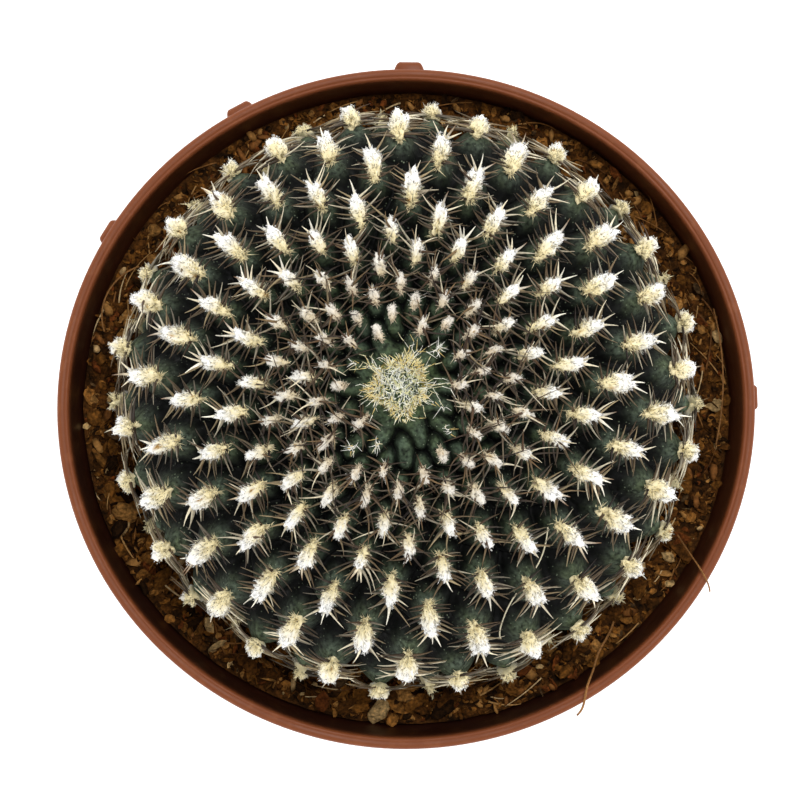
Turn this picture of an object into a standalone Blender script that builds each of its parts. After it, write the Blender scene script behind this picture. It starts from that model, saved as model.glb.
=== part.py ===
"""A round, spiny cactus in a terracotta-coloured plastic pot.

Four solids: the pot, the soil that fills it, the plant (stem, tubercles, areoles and spines as one
grown body) and the felt of wool over the plant's growing tip. Metres, +Z up, the origin on the
ground under the middle of the rim.
"""

import math
import random

import bmesh
import bpy
import numpy as np
from mathutils import Matrix, Vector

MM = 0.001

# Fit between neighbouring solids
GAP = 0.3 * MM

# Pot
POT_HEIGHT = 66 * MM
RIM_RADIUS = 42.5 * MM
RIM_SQUEEZE = 0.026          # how much narrower the rim is along Y than along X
LIP_THICKNESS = 1.5 * MM
LIP_ROUND = 0.35 * MM
WALL = 1.2 * MM
COLLAR_HEIGHT = 12 * MM
COLLAR_STEP = 1.4 * MM
COLLAR_TAPER = 1.2 * MM
BASE_RADIUS = 29.5 * MM
FOOT_WIDTH = 3.0 * MM
FOOT_ROUND = 0.9 * MM
FOOT_RECESS = 1.5 * MM
FLOOR_THICKNESS = 1.4 * MM
FLOOR_FILLET = 1.2 * MM
TURN_STEPS = 72
DRAIN_HOLES = 6
DRAIN_RADIUS = 3.2 * MM
DRAIN_CIRCLE = 19 * MM

# Moulded lugs outside the rim: each one's angle in degrees and how far it stands out
LUGS = ((2, 0.45 * MM), (89.5, 1.0 * MM), (118.5, 0.8 * MM), (148.5, 0.65 * MM))
LUG_WIDTH = 3.4 * MM
LUG_HEIGHT = 3.2 * MM
LUG_DROP = 1.2 * MM          # from the rim's top down to the lugs' tops
LUG_ROOT = 1.0 * MM
LUG_SLOPE = 0.7 * MM

# Soil
SOIL_LEVEL = 57.6 * MM
SOIL_ROUGHNESS = 0.35 * MM
SOIL_CREST = 0.8 * MM        # the mound between the plant and the wall
SOIL_RINGS = 10
SOIL_GRAINS = 34
GRAIN_RADII = (0.9 * MM, 1.7 * MM)

# Plant: the tubercle tips lie on a flattened globe
GLOBE_RADIUS = 34.6 * MM
GLOBE_RISE = 22.5 * MM       # from the equator up to the growing tip
GLOBE_DROP = 16.0 * MM       # the lower half's own semi-axis
EQUATOR_HEIGHT = 67.0 * MM
GLOBE_CENTRE = (0.0 * MM, 0.8 * MM)
TIP_LEAN = (-0.85 * MM, 2.0 * MM)
TIP_RADIUS = 4.1 * MM        # the bare growing tip under the felt
TIP_DISH = 0.9 * MM
NECK_GAP = 1.0 * MM          # how far above the soil the globe gives way to the root
NECK_POINTS = 30
ROOT_RADIUS = 17.5 * MM
ROOT_TAPER = 0.64
ROOT_DEPTH = 12 * MM

# Spiral pattern of the areoles: two opposite ones on each level, turned by a fixed angle
LEVEL_TURN = math.radians(68.754)
FIRST_ANGLE = math.radians(101.8)
ANCHOR_ARC = 10.66 * MM      # a distance from the tip, along the skin ...
ANCHOR_LEVEL = 20.8          # ... and the level that lies there
FULL_SHARE = 88.3 * MM * MM  # skin that belongs to one full-grown areole
SHARE_ARC = 33 * MM
SHARE_POWER = 2.29
YOUNG_SHARE = 5.5 * MM * MM  # skin that belongs to one of the first tubercles
GROWN_SHARE = 56 * MM * MM   # past this, areoles are full size

# Tubercles and areoles, full grown
GROOVE_DEPTH = 3.1 * MM
PIT = 1.0                    # share of the groove depth where three tubercles meet ...
SADDLE = 0.62                # ... and half way between two
AREOLE_LENGTH = 5.6 * MM
AREOLE_WIDTH = 2.3 * MM
AREOLE_RISE = 1.0 * MM
AREOLE_SIDES = 6
YOUNG_SIDES = 4
YOUNG_SIZE = 0.55            # areoles smaller than this get fewer points and spines
SKIN_LIFT = -0.15 * MM       # where an areole's edge meets the green skin

# Spines
SPINE_LENGTH = 3.9 * MM
SPINE_RADIUS = 0.27 * MM
SPINE_ROOT = 1.1 * MM
SPINE_LIFT = math.radians(24)
BARE_BELOW = 5.0 * MM        # no spines this close above the soil ...
BARE_SIZE = 0.36             # ... nor on tubercles smaller than this

# Felt of wool on the growing tip
FELT_RISE = 1.7 * MM
FELT_EDGE = 0.25 * MM
FELT_TUFTS = 9
FELT_TUFT_REACH = 0.9 * MM
FELT_SPOKES = 27
FELT_RINGS = 8


# ------------------------------------------------------------------ shared steps

def clear_scene():
    """Removes every object."""
    for obj in list(bpy.data.objects):
        bpy.data.objects.remove(obj, do_unlink=True)


def new_collection(name, hidden=False):
    """A collection linked to the scene, kept out of renders if hidden."""
    collection = bpy.data.collections.new(name)
    collection.hide_render = hidden
    bpy.context.scene.collection.children.link(collection)
    return collection


def discard(collection):
    """Removes a collection with its objects."""
    for obj in list(collection.objects):
        bpy.data.objects.remove(obj, do_unlink=True)
    bpy.data.collections.remove(collection)


def material(name, colour, roughness):
    """A Principled BSDF of one colour."""
    made = bpy.data.materials.new(name)
    made.use_nodes = True
    shader = made.node_tree.nodes["Principled BSDF"]
    shader.inputs["Base Color"].default_value = (*colour, 1.0)
    shader.inputs["Roughness"].default_value = roughness
    shader.inputs["Metallic"].default_value = 0.0
    return made


def object_from(name, bm, collection):
    """Turns a bmesh into a linked object with its faces pointing out."""
    bmesh.ops.recalc_face_normals(bm, faces=bm.faces)
    mesh = bpy.data.meshes.new(name)
    bm.to_mesh(mesh)
    bm.free()
    obj = bpy.data.objects.new(name, mesh)
    collection.objects.link(obj)
    return obj


def apply_modifiers(obj):
    """Bakes the object's modifiers into its mesh."""
    bpy.context.view_layer.update()
    graph = bpy.context.evaluated_depsgraph_get()
    mesh = bpy.data.meshes.new_from_object(obj.evaluated_get(graph))
    obj.modifiers.clear()
    obj.data = mesh


def turned(name, profile, collection):
    """A solid of revolution from a closed (r, z) profile that runs over the top and down outside."""
    bm = bmesh.new()
    corners = [bm.verts.new((r, 0, z)) for r, z in profile]
    for a, b in zip(corners, corners[1:]):
        bm.edges.new((a, b))
    mesh = bpy.data.meshes.new(name)
    bm.to_mesh(mesh)
    bm.free()
    obj = bpy.data.objects.new(name, mesh)
    collection.objects.link(obj)
    screw = obj.modifiers.new("turn", "SCREW")
    screw.axis = "Z"
    screw.steps = TURN_STEPS
    screw.render_steps = TURN_STEPS
    screw.use_merge_vertices = True
    screw.merge_threshold = 0.05 * MM
    apply_modifiers(obj)
    weld_seam(obj)
    return obj


def weld_seam(obj):
    """Merges the points that turning leaves together on the seam and the axis."""
    bm = bmesh.new()
    bm.from_mesh(obj.data)
    bmesh.ops.remove_doubles(bm, verts=bm.verts, dist=0.02 * MM)
    bmesh.ops.recalc_face_normals(bm, faces=bm.faces)
    bm.to_mesh(obj.data)
    bm.free()


def squeeze_rim(obj):
    """Makes the pot's top slightly oval, fading to round at the base."""
    for vertex in obj.data.vertices:
        vertex.co.y *= 1 - RIM_SQUEEZE * vertex.co.z / POT_HEIGHT


def boolean(obj, operand, operation, solver="EXACT"):
    """Joins or cuts the object with every object of a collection."""
    step = obj.modifiers.new(operation.lower(), "BOOLEAN")
    step.operation = operation
    step.solver = solver
    step.operand_type = "COLLECTION"
    step.collection = operand
    apply_modifiers(obj)


def make_cutter(name, radius_low, radius_high, depth, centre, segments, cutters):
    """A tapered round cutter, upright."""
    bm = bmesh.new()
    bmesh.ops.create_cone(
        bm, cap_ends=True, segments=segments, radius1=radius_low, radius2=radius_high, depth=depth
    )
    cutter = object_from(name, bm, cutters)
    cutter.location = centre
    cutter.hide_render = True
    cutter.display_type = "WIRE"


# ------------------------------------------------------------------ pot

def wall_radius(z):
    """The pot's outer radius under the collar, a straight taper."""
    top = RIM_RADIUS - COLLAR_TAPER - COLLAR_STEP
    return BASE_RADIUS + (top - BASE_RADIUS) * z / (POT_HEIGHT - COLLAR_HEIGHT)


def collar_bore(z):
    """The radius inside the collar, which opens slightly towards the lip."""
    low = (RIM_RADIUS - COLLAR_TAPER - WALL, POT_HEIGHT - COLLAR_HEIGHT + 1.2 * MM)
    high = (RIM_RADIUS - LIP_THICKNESS, POT_HEIGHT - 0.5 * MM)
    return low[0] + (high[0] - low[0]) * (z - low[1]) / (high[1] - low[1])


def cavity_profile(inset):
    """(r, z) points up the pot's inner side to the foot of the collar, moved inwards by inset."""
    floor = FOOT_RECESS + FLOOR_THICKNESS
    ledge = POT_HEIGHT - COLLAR_HEIGHT
    above = floor + FLOOR_FILLET
    return [
        (wall_radius(floor) - WALL - FLOOR_FILLET - inset, floor + inset),
        (wall_radius(above) - WALL - inset, above + inset),
        (wall_radius(ledge) - WALL - inset, ledge - 0.6 * MM),
        (collar_bore(ledge + 1.2 * MM) - inset, ledge + 1.2 * MM),
    ]


def make_pot(parts, cutters):
    """A turned shell, squeezed oval, with lugs joined on and drainage holes cut out."""
    collar = POT_HEIGHT - COLLAR_HEIGHT
    bore = RIM_RADIUS - LIP_THICKNESS
    foot_inside = BASE_RADIUS - FOOT_WIDTH
    outside = [
        (bore + 0.2 * MM, POT_HEIGHT - 0.15 * MM),
        (RIM_RADIUS - 2 * LIP_ROUND, POT_HEIGHT),
        (RIM_RADIUS - 0.3 * LIP_ROUND, POT_HEIGHT - 0.3 * LIP_ROUND),
        (RIM_RADIUS, POT_HEIGHT - 1.2 * LIP_ROUND),
        (RIM_RADIUS - COLLAR_TAPER, collar + 0.4 * MM),
        (RIM_RADIUS - COLLAR_TAPER - 0.4 * MM, collar),
        (wall_radius(collar), collar - 0.2 * MM),
        (wall_radius(1.2 * MM), 1.2 * MM),
        (BASE_RADIUS - FOOT_ROUND, 0),
        (foot_inside, 0),
        (foot_inside - 0.5 * MM, FOOT_RECESS),
        (0, FOOT_RECESS),
    ]
    inside = [(0, FOOT_RECESS + FLOOR_THICKNESS), *cavity_profile(0), (bore, POT_HEIGHT - 0.5 * MM)]
    pot = turned("pot", outside + inside + outside[:1], parts)
    squeeze_rim(pot)

    lugs = new_collection("lugs", hidden=True)
    for degrees, reach in LUGS:
        make_lug(math.radians(degrees), reach, lugs)
    boolean(pot, lugs, "UNION")
    discard(lugs)

    for k in range(DRAIN_HOLES):
        angle = 2 * math.pi * k / DRAIN_HOLES
        centre = (DRAIN_CIRCLE * math.cos(angle), DRAIN_CIRCLE * math.sin(angle), FOOT_RECESS)
        make_cutter(f"drain_{k + 1}", DRAIN_RADIUS, DRAIN_RADIUS, 8 * MM, centre, 16, cutters)
    boolean(pot, cutters, "DIFFERENCE")
    return pot


def make_lug(angle, reach, collection):
    """One moulded nub on the outside of the rim: a block with sloped ends and underside."""
    bm = bmesh.new()
    bmesh.ops.create_cube(bm, size=1)
    middle = POT_HEIGHT - LUG_DROP - LUG_HEIGHT / 2
    for vertex in bm.verts:
        outer = vertex.co.x > 0
        slope = LUG_SLOPE if outer and vertex.co.z < 0 else 0
        vertex.co.x = RIM_RADIUS + (reach if outer else -LUG_ROOT)
        vertex.co.y *= LUG_WIDTH * (0.8 if outer else 1.15)
        vertex.co.z = middle + vertex.co.z * LUG_HEIGHT + slope
    lug = object_from("lug", bm, collection)
    lug.data.transform(Matrix.Rotation(angle, 4, "Z"))
    squeeze_rim(lug)


# ------------------------------------------------------------------ soil

def bumps(x, y, scale, seed):
    """A smooth, lumpy field from about -1 to 1: a few crossed waves with seeded phases."""
    draw = random.Random(seed)
    total = 0.0
    for _ in range(6):
        heading = draw.uniform(0, math.pi)
        wave = 2 * math.pi / (scale * draw.uniform(0.7, 1.5))
        phase = draw.uniform(0, 2 * math.pi)
        total += math.sin((x * math.cos(heading) + y * math.sin(heading)) * wave + phase)
    return total / 3.2


def soil_height(x, y):
    """The height of the soil surface, a little lower towards the west and south."""
    tilt = 0.012 * x + 0.010 * y
    clods = SOIL_ROUGHNESS * (bumps(x, y, 9 * MM, 3) + bumps(x, y, 4.5 * MM, 4))
    crest = SOIL_CREST * math.exp(-(((math.hypot(x, y) - 35 * MM) / (5 * MM)) ** 2))
    return SOIL_LEVEL + tilt + clods + crest


def make_soil(parts, cutters):
    """The potting mix that fills the pot, with a hole for the root and grains on its surface."""
    edge = collar_bore(SOIL_LEVEL) - GAP
    first = ROOT_RADIUS * 0.8
    top = [first + (edge - first) * k / SOIL_RINGS for k in range(SOIL_RINGS + 1)]
    profile = [(0, SOIL_LEVEL)]
    profile += [(r, SOIL_LEVEL) for r in top]
    profile += reversed(cavity_profile(GAP))
    profile += [(0, FOOT_RECESS + FLOOR_THICKNESS + GAP)]
    soil = turned("soil", profile, parts)
    for vertex in soil.data.vertices:
        if abs(vertex.co.z - SOIL_LEVEL) > 0.01 * MM:
            continue
        x, y = vertex.co.x, vertex.co.y
        vertex.co.z = soil_height(x, y)
        if math.hypot(x, y) > edge - 0.1 * MM:
            outwards = (collar_bore(vertex.co.z) - GAP) / math.hypot(x, y)
            vertex.co.x *= outwards
            vertex.co.y *= outwards
    squeeze_rim(soil)

    grains = new_collection("grains", hidden=True)
    draw = random.Random(11)
    for k in range(SOIL_GRAINS):
        angle = 2 * math.pi * (k + draw.uniform(-0.4, 0.4)) / SOIL_GRAINS
        size = draw.uniform(*GRAIN_RADII)
        distance = draw.uniform(34.0 * MM, edge - GRAIN_RADII[1] - 0.6 * MM)
        x = distance * math.cos(angle)
        y = distance * math.sin(angle)
        bm = bmesh.new()
        bmesh.ops.create_icosphere(bm, subdivisions=1, radius=size)
        for vertex in bm.verts:
            vertex.co *= draw.uniform(0.8, 1.15)
        seat = Vector((x, y * (1 - RIM_SQUEEZE), soil_height(x, y) + 0.15 * size))
        bmesh.ops.translate(bm, verts=bm.verts, vec=seat)
        object_from("grain", bm, grains)
    boolean(soil, grains, "UNION")
    discard(grains)

    hole = new_collection("root_hole", hidden=True)
    depth = 2 * (ROOT_DEPTH + GAP)
    slope = ROOT_RADIUS * (1 - ROOT_TAPER)
    low = ROOT_RADIUS * ROOT_TAPER + 2 * GAP
    make_cutter("root_hole_cutter", low, low + 2 * slope, depth, (*GLOBE_CENTRE, SOIL_LEVEL), 30, hole)
    boolean(soil, hole, "DIFFERENCE")
    discard(hole)
    return soil


# ------------------------------------------------------------------ plant

class Globe:
    """The flattened globe that the tubercle tips lie on, and the spiral of areoles over it.

    A place on it is (t, angle): t is 0 at the growing tip, a quarter turn at the equator and half a
    turn at the bottom.
    """

    def __init__(self):
        self.t = np.linspace(0, math.pi, 1801)
        rise = np.where(self.t < math.pi / 2, GLOBE_RISE, GLOBE_DROP)
        radius = GLOBE_RADIUS * np.sin(self.t)
        steps = np.hypot(np.diff(radius), np.diff(rise * np.cos(self.t)))
        self.arc = np.concatenate([[0], np.cumsum(steps)])
        per_arc = math.pi * radius / self.share(self.arc)
        self.level = np.concatenate([[0], np.cumsum((per_arc[1:] + per_arc[:-1]) / 2 * steps)])
        self.level += ANCHOR_LEVEL - np.interp(ANCHOR_ARC, self.arc, self.level)
        self.tip = math.asin(TIP_RADIUS / GLOBE_RADIUS)
        self.end = math.pi - math.acos((EQUATOR_HEIGHT - SOIL_LEVEL - NECK_GAP) / GLOBE_DROP)

    @staticmethod
    def share(arc):
        """The skin area of one areole at a distance from the tip, small on young growth."""
        grown = FULL_SHARE * (1 - np.exp(-((np.asarray(arc) / SHARE_ARC) ** SHARE_POWER)))
        return np.hypot(grown, YOUNG_SHARE)

    def size_at(self, t):
        """How far grown the tubercles at t are, from 0 up to 1."""
        return min(1.0, math.sqrt(self.share(np.interp(t, self.t, self.arc)) / GROWN_SHARE))

    @staticmethod
    def rise(t):
        """The vertical semi-axis at t."""
        return GLOBE_RISE if t < math.pi / 2 else GLOBE_DROP

    def stretch(self, t):
        """How many metres of skin one radian of t covers."""
        return math.hypot(GLOBE_RADIUS * math.cos(t), self.rise(t) * math.sin(t))

    def place(self, t, angle, lift=0.0):
        """The point at (t, angle), raised from the skin by lift."""
        radius = GLOBE_RADIUS * math.sin(t)
        dish = TIP_DISH * math.exp(-((radius / (1.3 * TIP_RADIUS)) ** 2))
        point = Vector((radius * math.cos(angle), radius * math.sin(angle), self.rise(t) * math.cos(t) - dish))
        point += Vector((*GLOBE_CENTRE, EQUATOR_HEIGHT))
        point += max(math.cos(t), 0.0) * Vector((*TIP_LEAN, 0))
        return point + lift * self.normal(t, angle)

    def normal(self, t, angle):
        """The outward direction of the skin."""
        side = self.rise(t) * math.sin(t)
        up = GLOBE_RADIUS * math.cos(t)
        return Vector((side * math.cos(angle), side * math.sin(angle), up)).normalized()

    def areoles(self):
        """(t, angle, size, level) of every areole, size being 1 on a full-grown one."""
        found = []
        first = math.ceil(np.interp(self.tip * 1.25, self.t, self.level))
        last = math.floor(np.interp(self.end - 0.1, self.t, self.level))
        for level in range(first, last + 1):
            t = float(np.interp(level, self.level, self.t))
            for half in (0, math.pi):
                found.append((t, FIRST_ANGLE + level * LEVEL_TURN + half, self.size_at(t), level))
        return found


def on_ball(t, angle):
    """The point of the unit ball at (t, angle)."""
    return Vector((math.sin(t) * math.cos(angle), math.sin(t) * math.sin(angle), math.cos(t)))


def hull_of(places):
    """A bmesh that joins neighbouring (t, angle, ...) places with triangles, on the unit ball."""
    bm = bmesh.new()
    for t, angle, *_ in places:
        bm.verts.new(on_ball(t, angle))
    bmesh.ops.convex_hull(bm, input=bm.verts)
    return bm


def ring_of(t, count, lift):
    """Evenly spaced (t, angle, lift) places round the globe."""
    return [(t, 2 * math.pi * k / count, lift) for k in range(count)]


def groove_places(globe, areoles):
    """(t, angle, lift) of the low points: where three tubercles meet and half way between two."""
    bm = hull_of(areoles + ring_of(globe.end, NECK_POINTS, 0) + ring_of(globe.tip, 12, 0))
    lows = [(face.calc_center_median(), PIT, 0.0) for face in bm.faces]
    lows += [((edge.verts[0].co + edge.verts[1].co) / 2, SADDLE, YOUNG_SIZE) for edge in bm.edges]
    bm.free()
    places = []
    for middle, depth, from_size in lows:
        middle.normalize()
        t = math.acos(max(-1.0, min(1.0, middle.z)))
        size = globe.size_at(t)
        if globe.tip * 1.2 < t < globe.end - 0.06 and size > from_size:
            places.append((t, math.atan2(middle.y, middle.x), -GROOVE_DEPTH * depth * size))
    return places


def areole_places(globe, areoles):
    """(t, angle, lift) of each areole's raised middle and the ring where it meets the skin."""
    places = []
    for t, angle, size, _ in areoles:
        places.append((t, angle, AREOLE_RISE * size))
        sides = AREOLE_SIDES if size > YOUNG_SIZE else YOUNG_SIDES
        for k in range(sides):
            around = 2 * math.pi * k / sides
            along = AREOLE_LENGTH / 2 * size * math.cos(around) / globe.stretch(t)
            across = AREOLE_WIDTH / 2 * size * math.sin(around) / (GLOBE_RADIUS * math.sin(t))
            places.append((t + along, angle + across, SKIN_LIFT))
    return places


def make_cactus(parts, globe, areoles):
    """The stem with its tubercles, areoles, spines and root, grown as one body."""
    places = groove_places(globe, areoles) + areole_places(globe, areoles)
    places += ring_of(globe.end, NECK_POINTS, -0.8 * GROOVE_DEPTH)
    places += ring_of(globe.tip, 12, SKIN_LIFT)
    places += ring_of(globe.tip / 2, 6, SKIN_LIFT)
    places += ring_of(0, 1, SKIN_LIFT)
    bm = hull_of(places)
    bm.verts.ensure_lookup_table()
    for vertex, (t, angle, lift) in zip(bm.verts, places):
        vertex.co = globe.place(t, angle, lift)
    cactus = object_from("cactus", bm, parts)

    grown = new_collection("grown_on", hidden=True)
    make_root(globe, grown)
    draw = random.Random(5)
    for t, angle, size, level in areoles:
        if globe.place(t, angle).z > SOIL_LEVEL + BARE_BELOW and size > BARE_SIZE:
            make_spines(globe, t, angle, size, level, draw, grown)
    boolean(cactus, grown, "UNION", "MANIFOLD")
    discard(grown)
    return cactus


def make_root(globe, collection):
    """The tapered stub that the plant stands on in the soil."""
    top = EQUATOR_HEIGHT - GLOBE_DROP * math.cos(math.pi - globe.end) + 2.0 * MM
    bottom = SOIL_LEVEL - ROOT_DEPTH
    widening = ROOT_RADIUS * (1 - ROOT_TAPER) / ROOT_DEPTH
    low = ROOT_RADIUS * ROOT_TAPER
    bm = bmesh.new()
    bmesh.ops.create_cone(
        bm, cap_ends=True, segments=30, radius1=low, radius2=low + widening * (top - bottom),
        depth=top - bottom,
    )
    bmesh.ops.translate(bm, verts=bm.verts, vec=(*GLOBE_CENTRE, (top + bottom) / 2))
    object_from("root", bm, collection)


def spine_directions(level, size):
    """(sideways, along) of an areole's spines: -1 or 1 to the sides, 0 outwards from the tip."""
    if size < YOUNG_SIZE:
        return ((1 if level % 2 else -1, 0.3),)
    if level % 2:
        return ((-1, 0.55), (1, -0.45), (0, 1.0))
    return ((-1, -0.45), (1, 0.55))


def make_spines(globe, t, angle, size, level, draw, collection):
    """The spines of one areole, three-sided needles with their roots sunk in its wool."""
    normal = globe.normal(t, angle)
    side = Vector((-math.sin(angle), math.cos(angle), 0))
    outward = side.cross(normal)
    for sideways, along in spine_directions(level, size):
        length = SPINE_LENGTH * (0.55 + 0.45 * size) * draw.uniform(0.88, 1.08)
        heading = (sideways * side + (0.35 if sideways else 1.0) * along * outward).normalized()
        lift = SPINE_LIFT * (1.0 if sideways else 1.6) * draw.uniform(0.7, 1.3)
        heading = heading * math.cos(lift) + normal * math.sin(lift)
        foot = globe.place(t, angle, 0.25 * MM)
        foot += outward * along * AREOLE_LENGTH * 0.38 * size
        foot += side * sideways * AREOLE_WIDTH * 0.12 * size
        needle(foot - heading * SPINE_ROOT, heading, length + SPINE_ROOT, draw.uniform(0, 2), collection)


def needle(foot, heading, length, roll, collection):
    """One three-sided tapered spine from foot along heading, rolled about its own length."""
    bm = bmesh.new()
    bmesh.ops.create_cone(bm, cap_ends=True, segments=3, radius1=SPINE_RADIUS, radius2=0, depth=length)
    spine = object_from("spine", bm, collection)
    facing = heading.to_track_quat("Z", "Y").to_matrix().to_4x4() @ Matrix.Rotation(roll, 4, "Z")
    spine.matrix_world = Matrix.Translation(foot + heading * length / 2) @ facing


def make_crown_wool(parts, globe):
    """The felt over the growing tip: a ball flattened into a low cushion with tufts round its edge."""
    bm = bmesh.new()
    bmesh.ops.create_uvsphere(bm, u_segments=FELT_SPOKES, v_segments=FELT_RINGS, radius=1)
    for vertex in bm.verts:
        angle = math.atan2(vertex.co.y, vertex.co.x)
        share = math.hypot(vertex.co.x, vertex.co.y)
        reach = TIP_RADIUS * 0.82 + FELT_TUFT_REACH * 0.5 * (1 + math.cos(FELT_TUFTS * angle))
        above = max(0.0, vertex.co.z) * FELT_RISE + (vertex.co.z > -0.01) * FELT_EDGE
        vertex.co = globe.place(math.asin(share * reach / GLOBE_RADIUS), angle, GAP + above)
    return object_from("crown_wool", bm, parts)


def main():
    """Builds the four solids and gives each its finish."""
    clear_scene()
    parts = new_collection("potted_cactus")
    cutters = new_collection("cutters", hidden=True)
    globe = Globe()
    finishes = {
        make_pot(parts, cutters): material("terracotta_plastic", (0.42, 0.12, 0.06), 0.5),
        make_soil(parts, cutters): material("potting_mix", (0.16, 0.075, 0.03), 0.95),
        make_cactus(parts, globe, globe.areoles()): material("cactus_green", (0.025, 0.06, 0.045), 0.6),
        make_crown_wool(parts, globe): material("crown_felt", (0.72, 0.7, 0.45), 0.9),
    }
    for piece, finish in finishes.items():
        piece.data.materials.clear()
        piece.data.materials.append(finish)
        piece.data.shade_smooth()
        piece.data.set_sharp_from_angle(angle=math.radians(35))


main()
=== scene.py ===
"""Dresses a potted round cactus: its plastic pot, the potting mix, the green stem with its tubercles,
the woolly areoles, the spines, the crown wool and the loose fibres.

All sizes are in metres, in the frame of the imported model: +Z up, the origin on the ground under the
middle of the pot's rim.
"""

import logging
import math
import random
from dataclasses import dataclass, field
from enum import Enum

import bpy
import numpy as np
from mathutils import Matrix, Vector


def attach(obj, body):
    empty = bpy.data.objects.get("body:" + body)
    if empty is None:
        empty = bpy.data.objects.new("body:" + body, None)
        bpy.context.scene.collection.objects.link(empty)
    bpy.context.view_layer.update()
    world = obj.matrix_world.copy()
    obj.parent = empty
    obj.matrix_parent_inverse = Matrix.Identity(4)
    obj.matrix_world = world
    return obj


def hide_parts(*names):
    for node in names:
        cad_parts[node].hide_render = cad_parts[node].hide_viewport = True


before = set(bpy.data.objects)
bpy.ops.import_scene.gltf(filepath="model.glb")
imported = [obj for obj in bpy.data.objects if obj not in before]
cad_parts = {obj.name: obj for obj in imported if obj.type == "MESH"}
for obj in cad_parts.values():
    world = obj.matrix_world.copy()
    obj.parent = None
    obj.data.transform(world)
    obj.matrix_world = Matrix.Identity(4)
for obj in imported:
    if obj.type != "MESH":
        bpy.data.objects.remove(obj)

MM = 0.001
BODY = "root"
TINT = "tint"
# Vertex colour for the pot's inner wall: part soil stain, part painted shade.
STAIN_AND_SHADE = "stain_and_shade"
LOG = logging.getLogger("potted_cactus")
Colour = tuple[float, float, float]
Socket = bpy.types.NodeSocket
Shapes = tuple[np.ndarray, np.ndarray, np.ndarray]  # points, triangles and a colour for each point


class Slot(Enum):
    """The material slots."""

    PLASTIC = "terracotta_plastic"
    SOIL = "potting_mix"
    FLESH = "cactus_flesh"
    WOOL = "areole_wool"


# ------------------------------------------------------------------ shared steps

def start_clean() -> None:
    """Leaves edit mode and deselects everything, so that an operator acts on its own object only."""
    if bpy.context.object and bpy.context.object.mode != "OBJECT":
        bpy.ops.object.mode_set(mode="OBJECT")
    bpy.ops.object.select_all(action="DESELECT")


def active(obj: bpy.types.Object) -> None:
    """Makes one object the only selected and active one.

    Args:
        obj: The object to act on.
    """
    start_clean()
    obj.select_set(True)
    bpy.context.view_layer.objects.active = obj


def edit_all() -> None:
    """Opens the active object in edit mode with everything selected."""
    bpy.ops.object.mode_set(mode="EDIT")
    bpy.ops.mesh.select_all(action="SELECT")


def edit_faces(obj: bpy.types.Object, chosen: np.ndarray) -> None:
    """Opens an object in edit mode with only some of its faces selected.

    Args:
        obj: The object to edit.
        chosen: True or false for each face.
    """
    active(obj)
    bpy.ops.object.mode_set(mode="EDIT")
    bpy.ops.mesh.select_mode(type="FACE")
    bpy.ops.mesh.select_all(action="DESELECT")
    close_edit()
    obj.data.polygons.foreach_set("select", chosen)
    bpy.ops.object.mode_set(mode="EDIT")


def close_edit() -> None:
    """Goes back to object mode."""
    bpy.ops.object.mode_set(mode="OBJECT")


def close_outwards() -> None:
    """Turns every face of the mesh being edited outwards and goes back to object mode."""
    bpy.ops.mesh.select_all(action="SELECT")
    bpy.ops.mesh.normals_make_consistent(inside=False)
    close_edit()


def smooth_by_angle(obj: bpy.types.Object, degrees: float) -> None:
    """Shades an object smooth and keeps its sharper edges.

    Args:
        obj: The object to shade.
        degrees: The angle between two faces from which an edge stays sharp.
    """
    active(obj)
    bpy.ops.object.shade_smooth_by_angle(angle=math.radians(degrees))


def apply_modifier(obj: bpy.types.Object, kind: str, **settings: object) -> None:
    """Adds one modifier and applies it.

    Args:
        obj: The object to change.
        kind: The modifier's type, such as "BOOLEAN".
        **settings: The modifier's properties.
    """
    active(obj)
    modifier = obj.modifiers.new(kind.lower(), kind)
    for name, value in settings.items():
        setattr(modifier, name, value)
    bpy.ops.object.modifier_apply(modifier=modifier.name)


def points_of(obj: bpy.types.Object) -> np.ndarray:
    """The object's vertices as an (n, 3) array.

    Args:
        obj: The object to read.

    Returns:
        (n, 3) places.
    """
    found = np.empty(len(obj.data.vertices) * 3)
    obj.data.vertices.foreach_get("co", found)
    return found.reshape(-1, 3)


def set_points(obj: bpy.types.Object, points: np.ndarray) -> None:
    """Moves the object's vertices.

    Args:
        obj: The object to change.
        points: Its new vertices, an (n, 3) array.
    """
    obj.data.vertices.foreach_set("co", points.astype(np.float32).ravel())
    obj.data.update()


def mesh_piece(name: str, points: np.ndarray, triangles: np.ndarray) -> bpy.types.Object:
    """A new smooth-shaded object from triangles.

    Args:
        name: The object's name.
        points: Its vertices, an (n, 3) array.
        triangles: Vertex numbers, an (m, 3) array.

    Returns:
        The linked object.
    """
    mesh = bpy.data.meshes.new(name)
    mesh.vertices.add(len(points))
    mesh.vertices.foreach_set("co", points.astype(np.float32).ravel())
    mesh.loops.add(len(triangles) * 3)
    mesh.loops.foreach_set("vertex_index", triangles.astype(np.int32).ravel())
    mesh.polygons.add(len(triangles))
    mesh.polygons.foreach_set("loop_start", np.arange(0, len(triangles) * 3, 3, dtype=np.int32))
    mesh.polygons.foreach_set("use_smooth", np.ones(len(triangles), dtype=bool))
    mesh.update(calc_edges=True)
    mesh.validate()
    obj = bpy.data.objects.new(name, mesh)
    bpy.context.scene.collection.objects.link(obj)
    return obj


def paint(obj: bpy.types.Object, name: str, colours: np.ndarray) -> None:
    """Gives each vertex a colour that a finish can read.

    Args:
        obj: The object to paint.
        name: The attribute's name.
        colours: One linear RGB row for each vertex.
    """
    attribute = obj.data.color_attributes.new(name=name, type="FLOAT_COLOR", domain="POINT")
    rgba = np.concatenate([colours, np.ones((len(colours), 1))], axis=1)
    attribute.data.foreach_set("color", rgba.astype(np.float32).ravel())


def unit(vectors: np.ndarray) -> np.ndarray:
    """The same directions, each one unit long."""
    return vectors / np.maximum(np.linalg.norm(vectors, axis=-1, keepdims=True), 1e-12)


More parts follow.
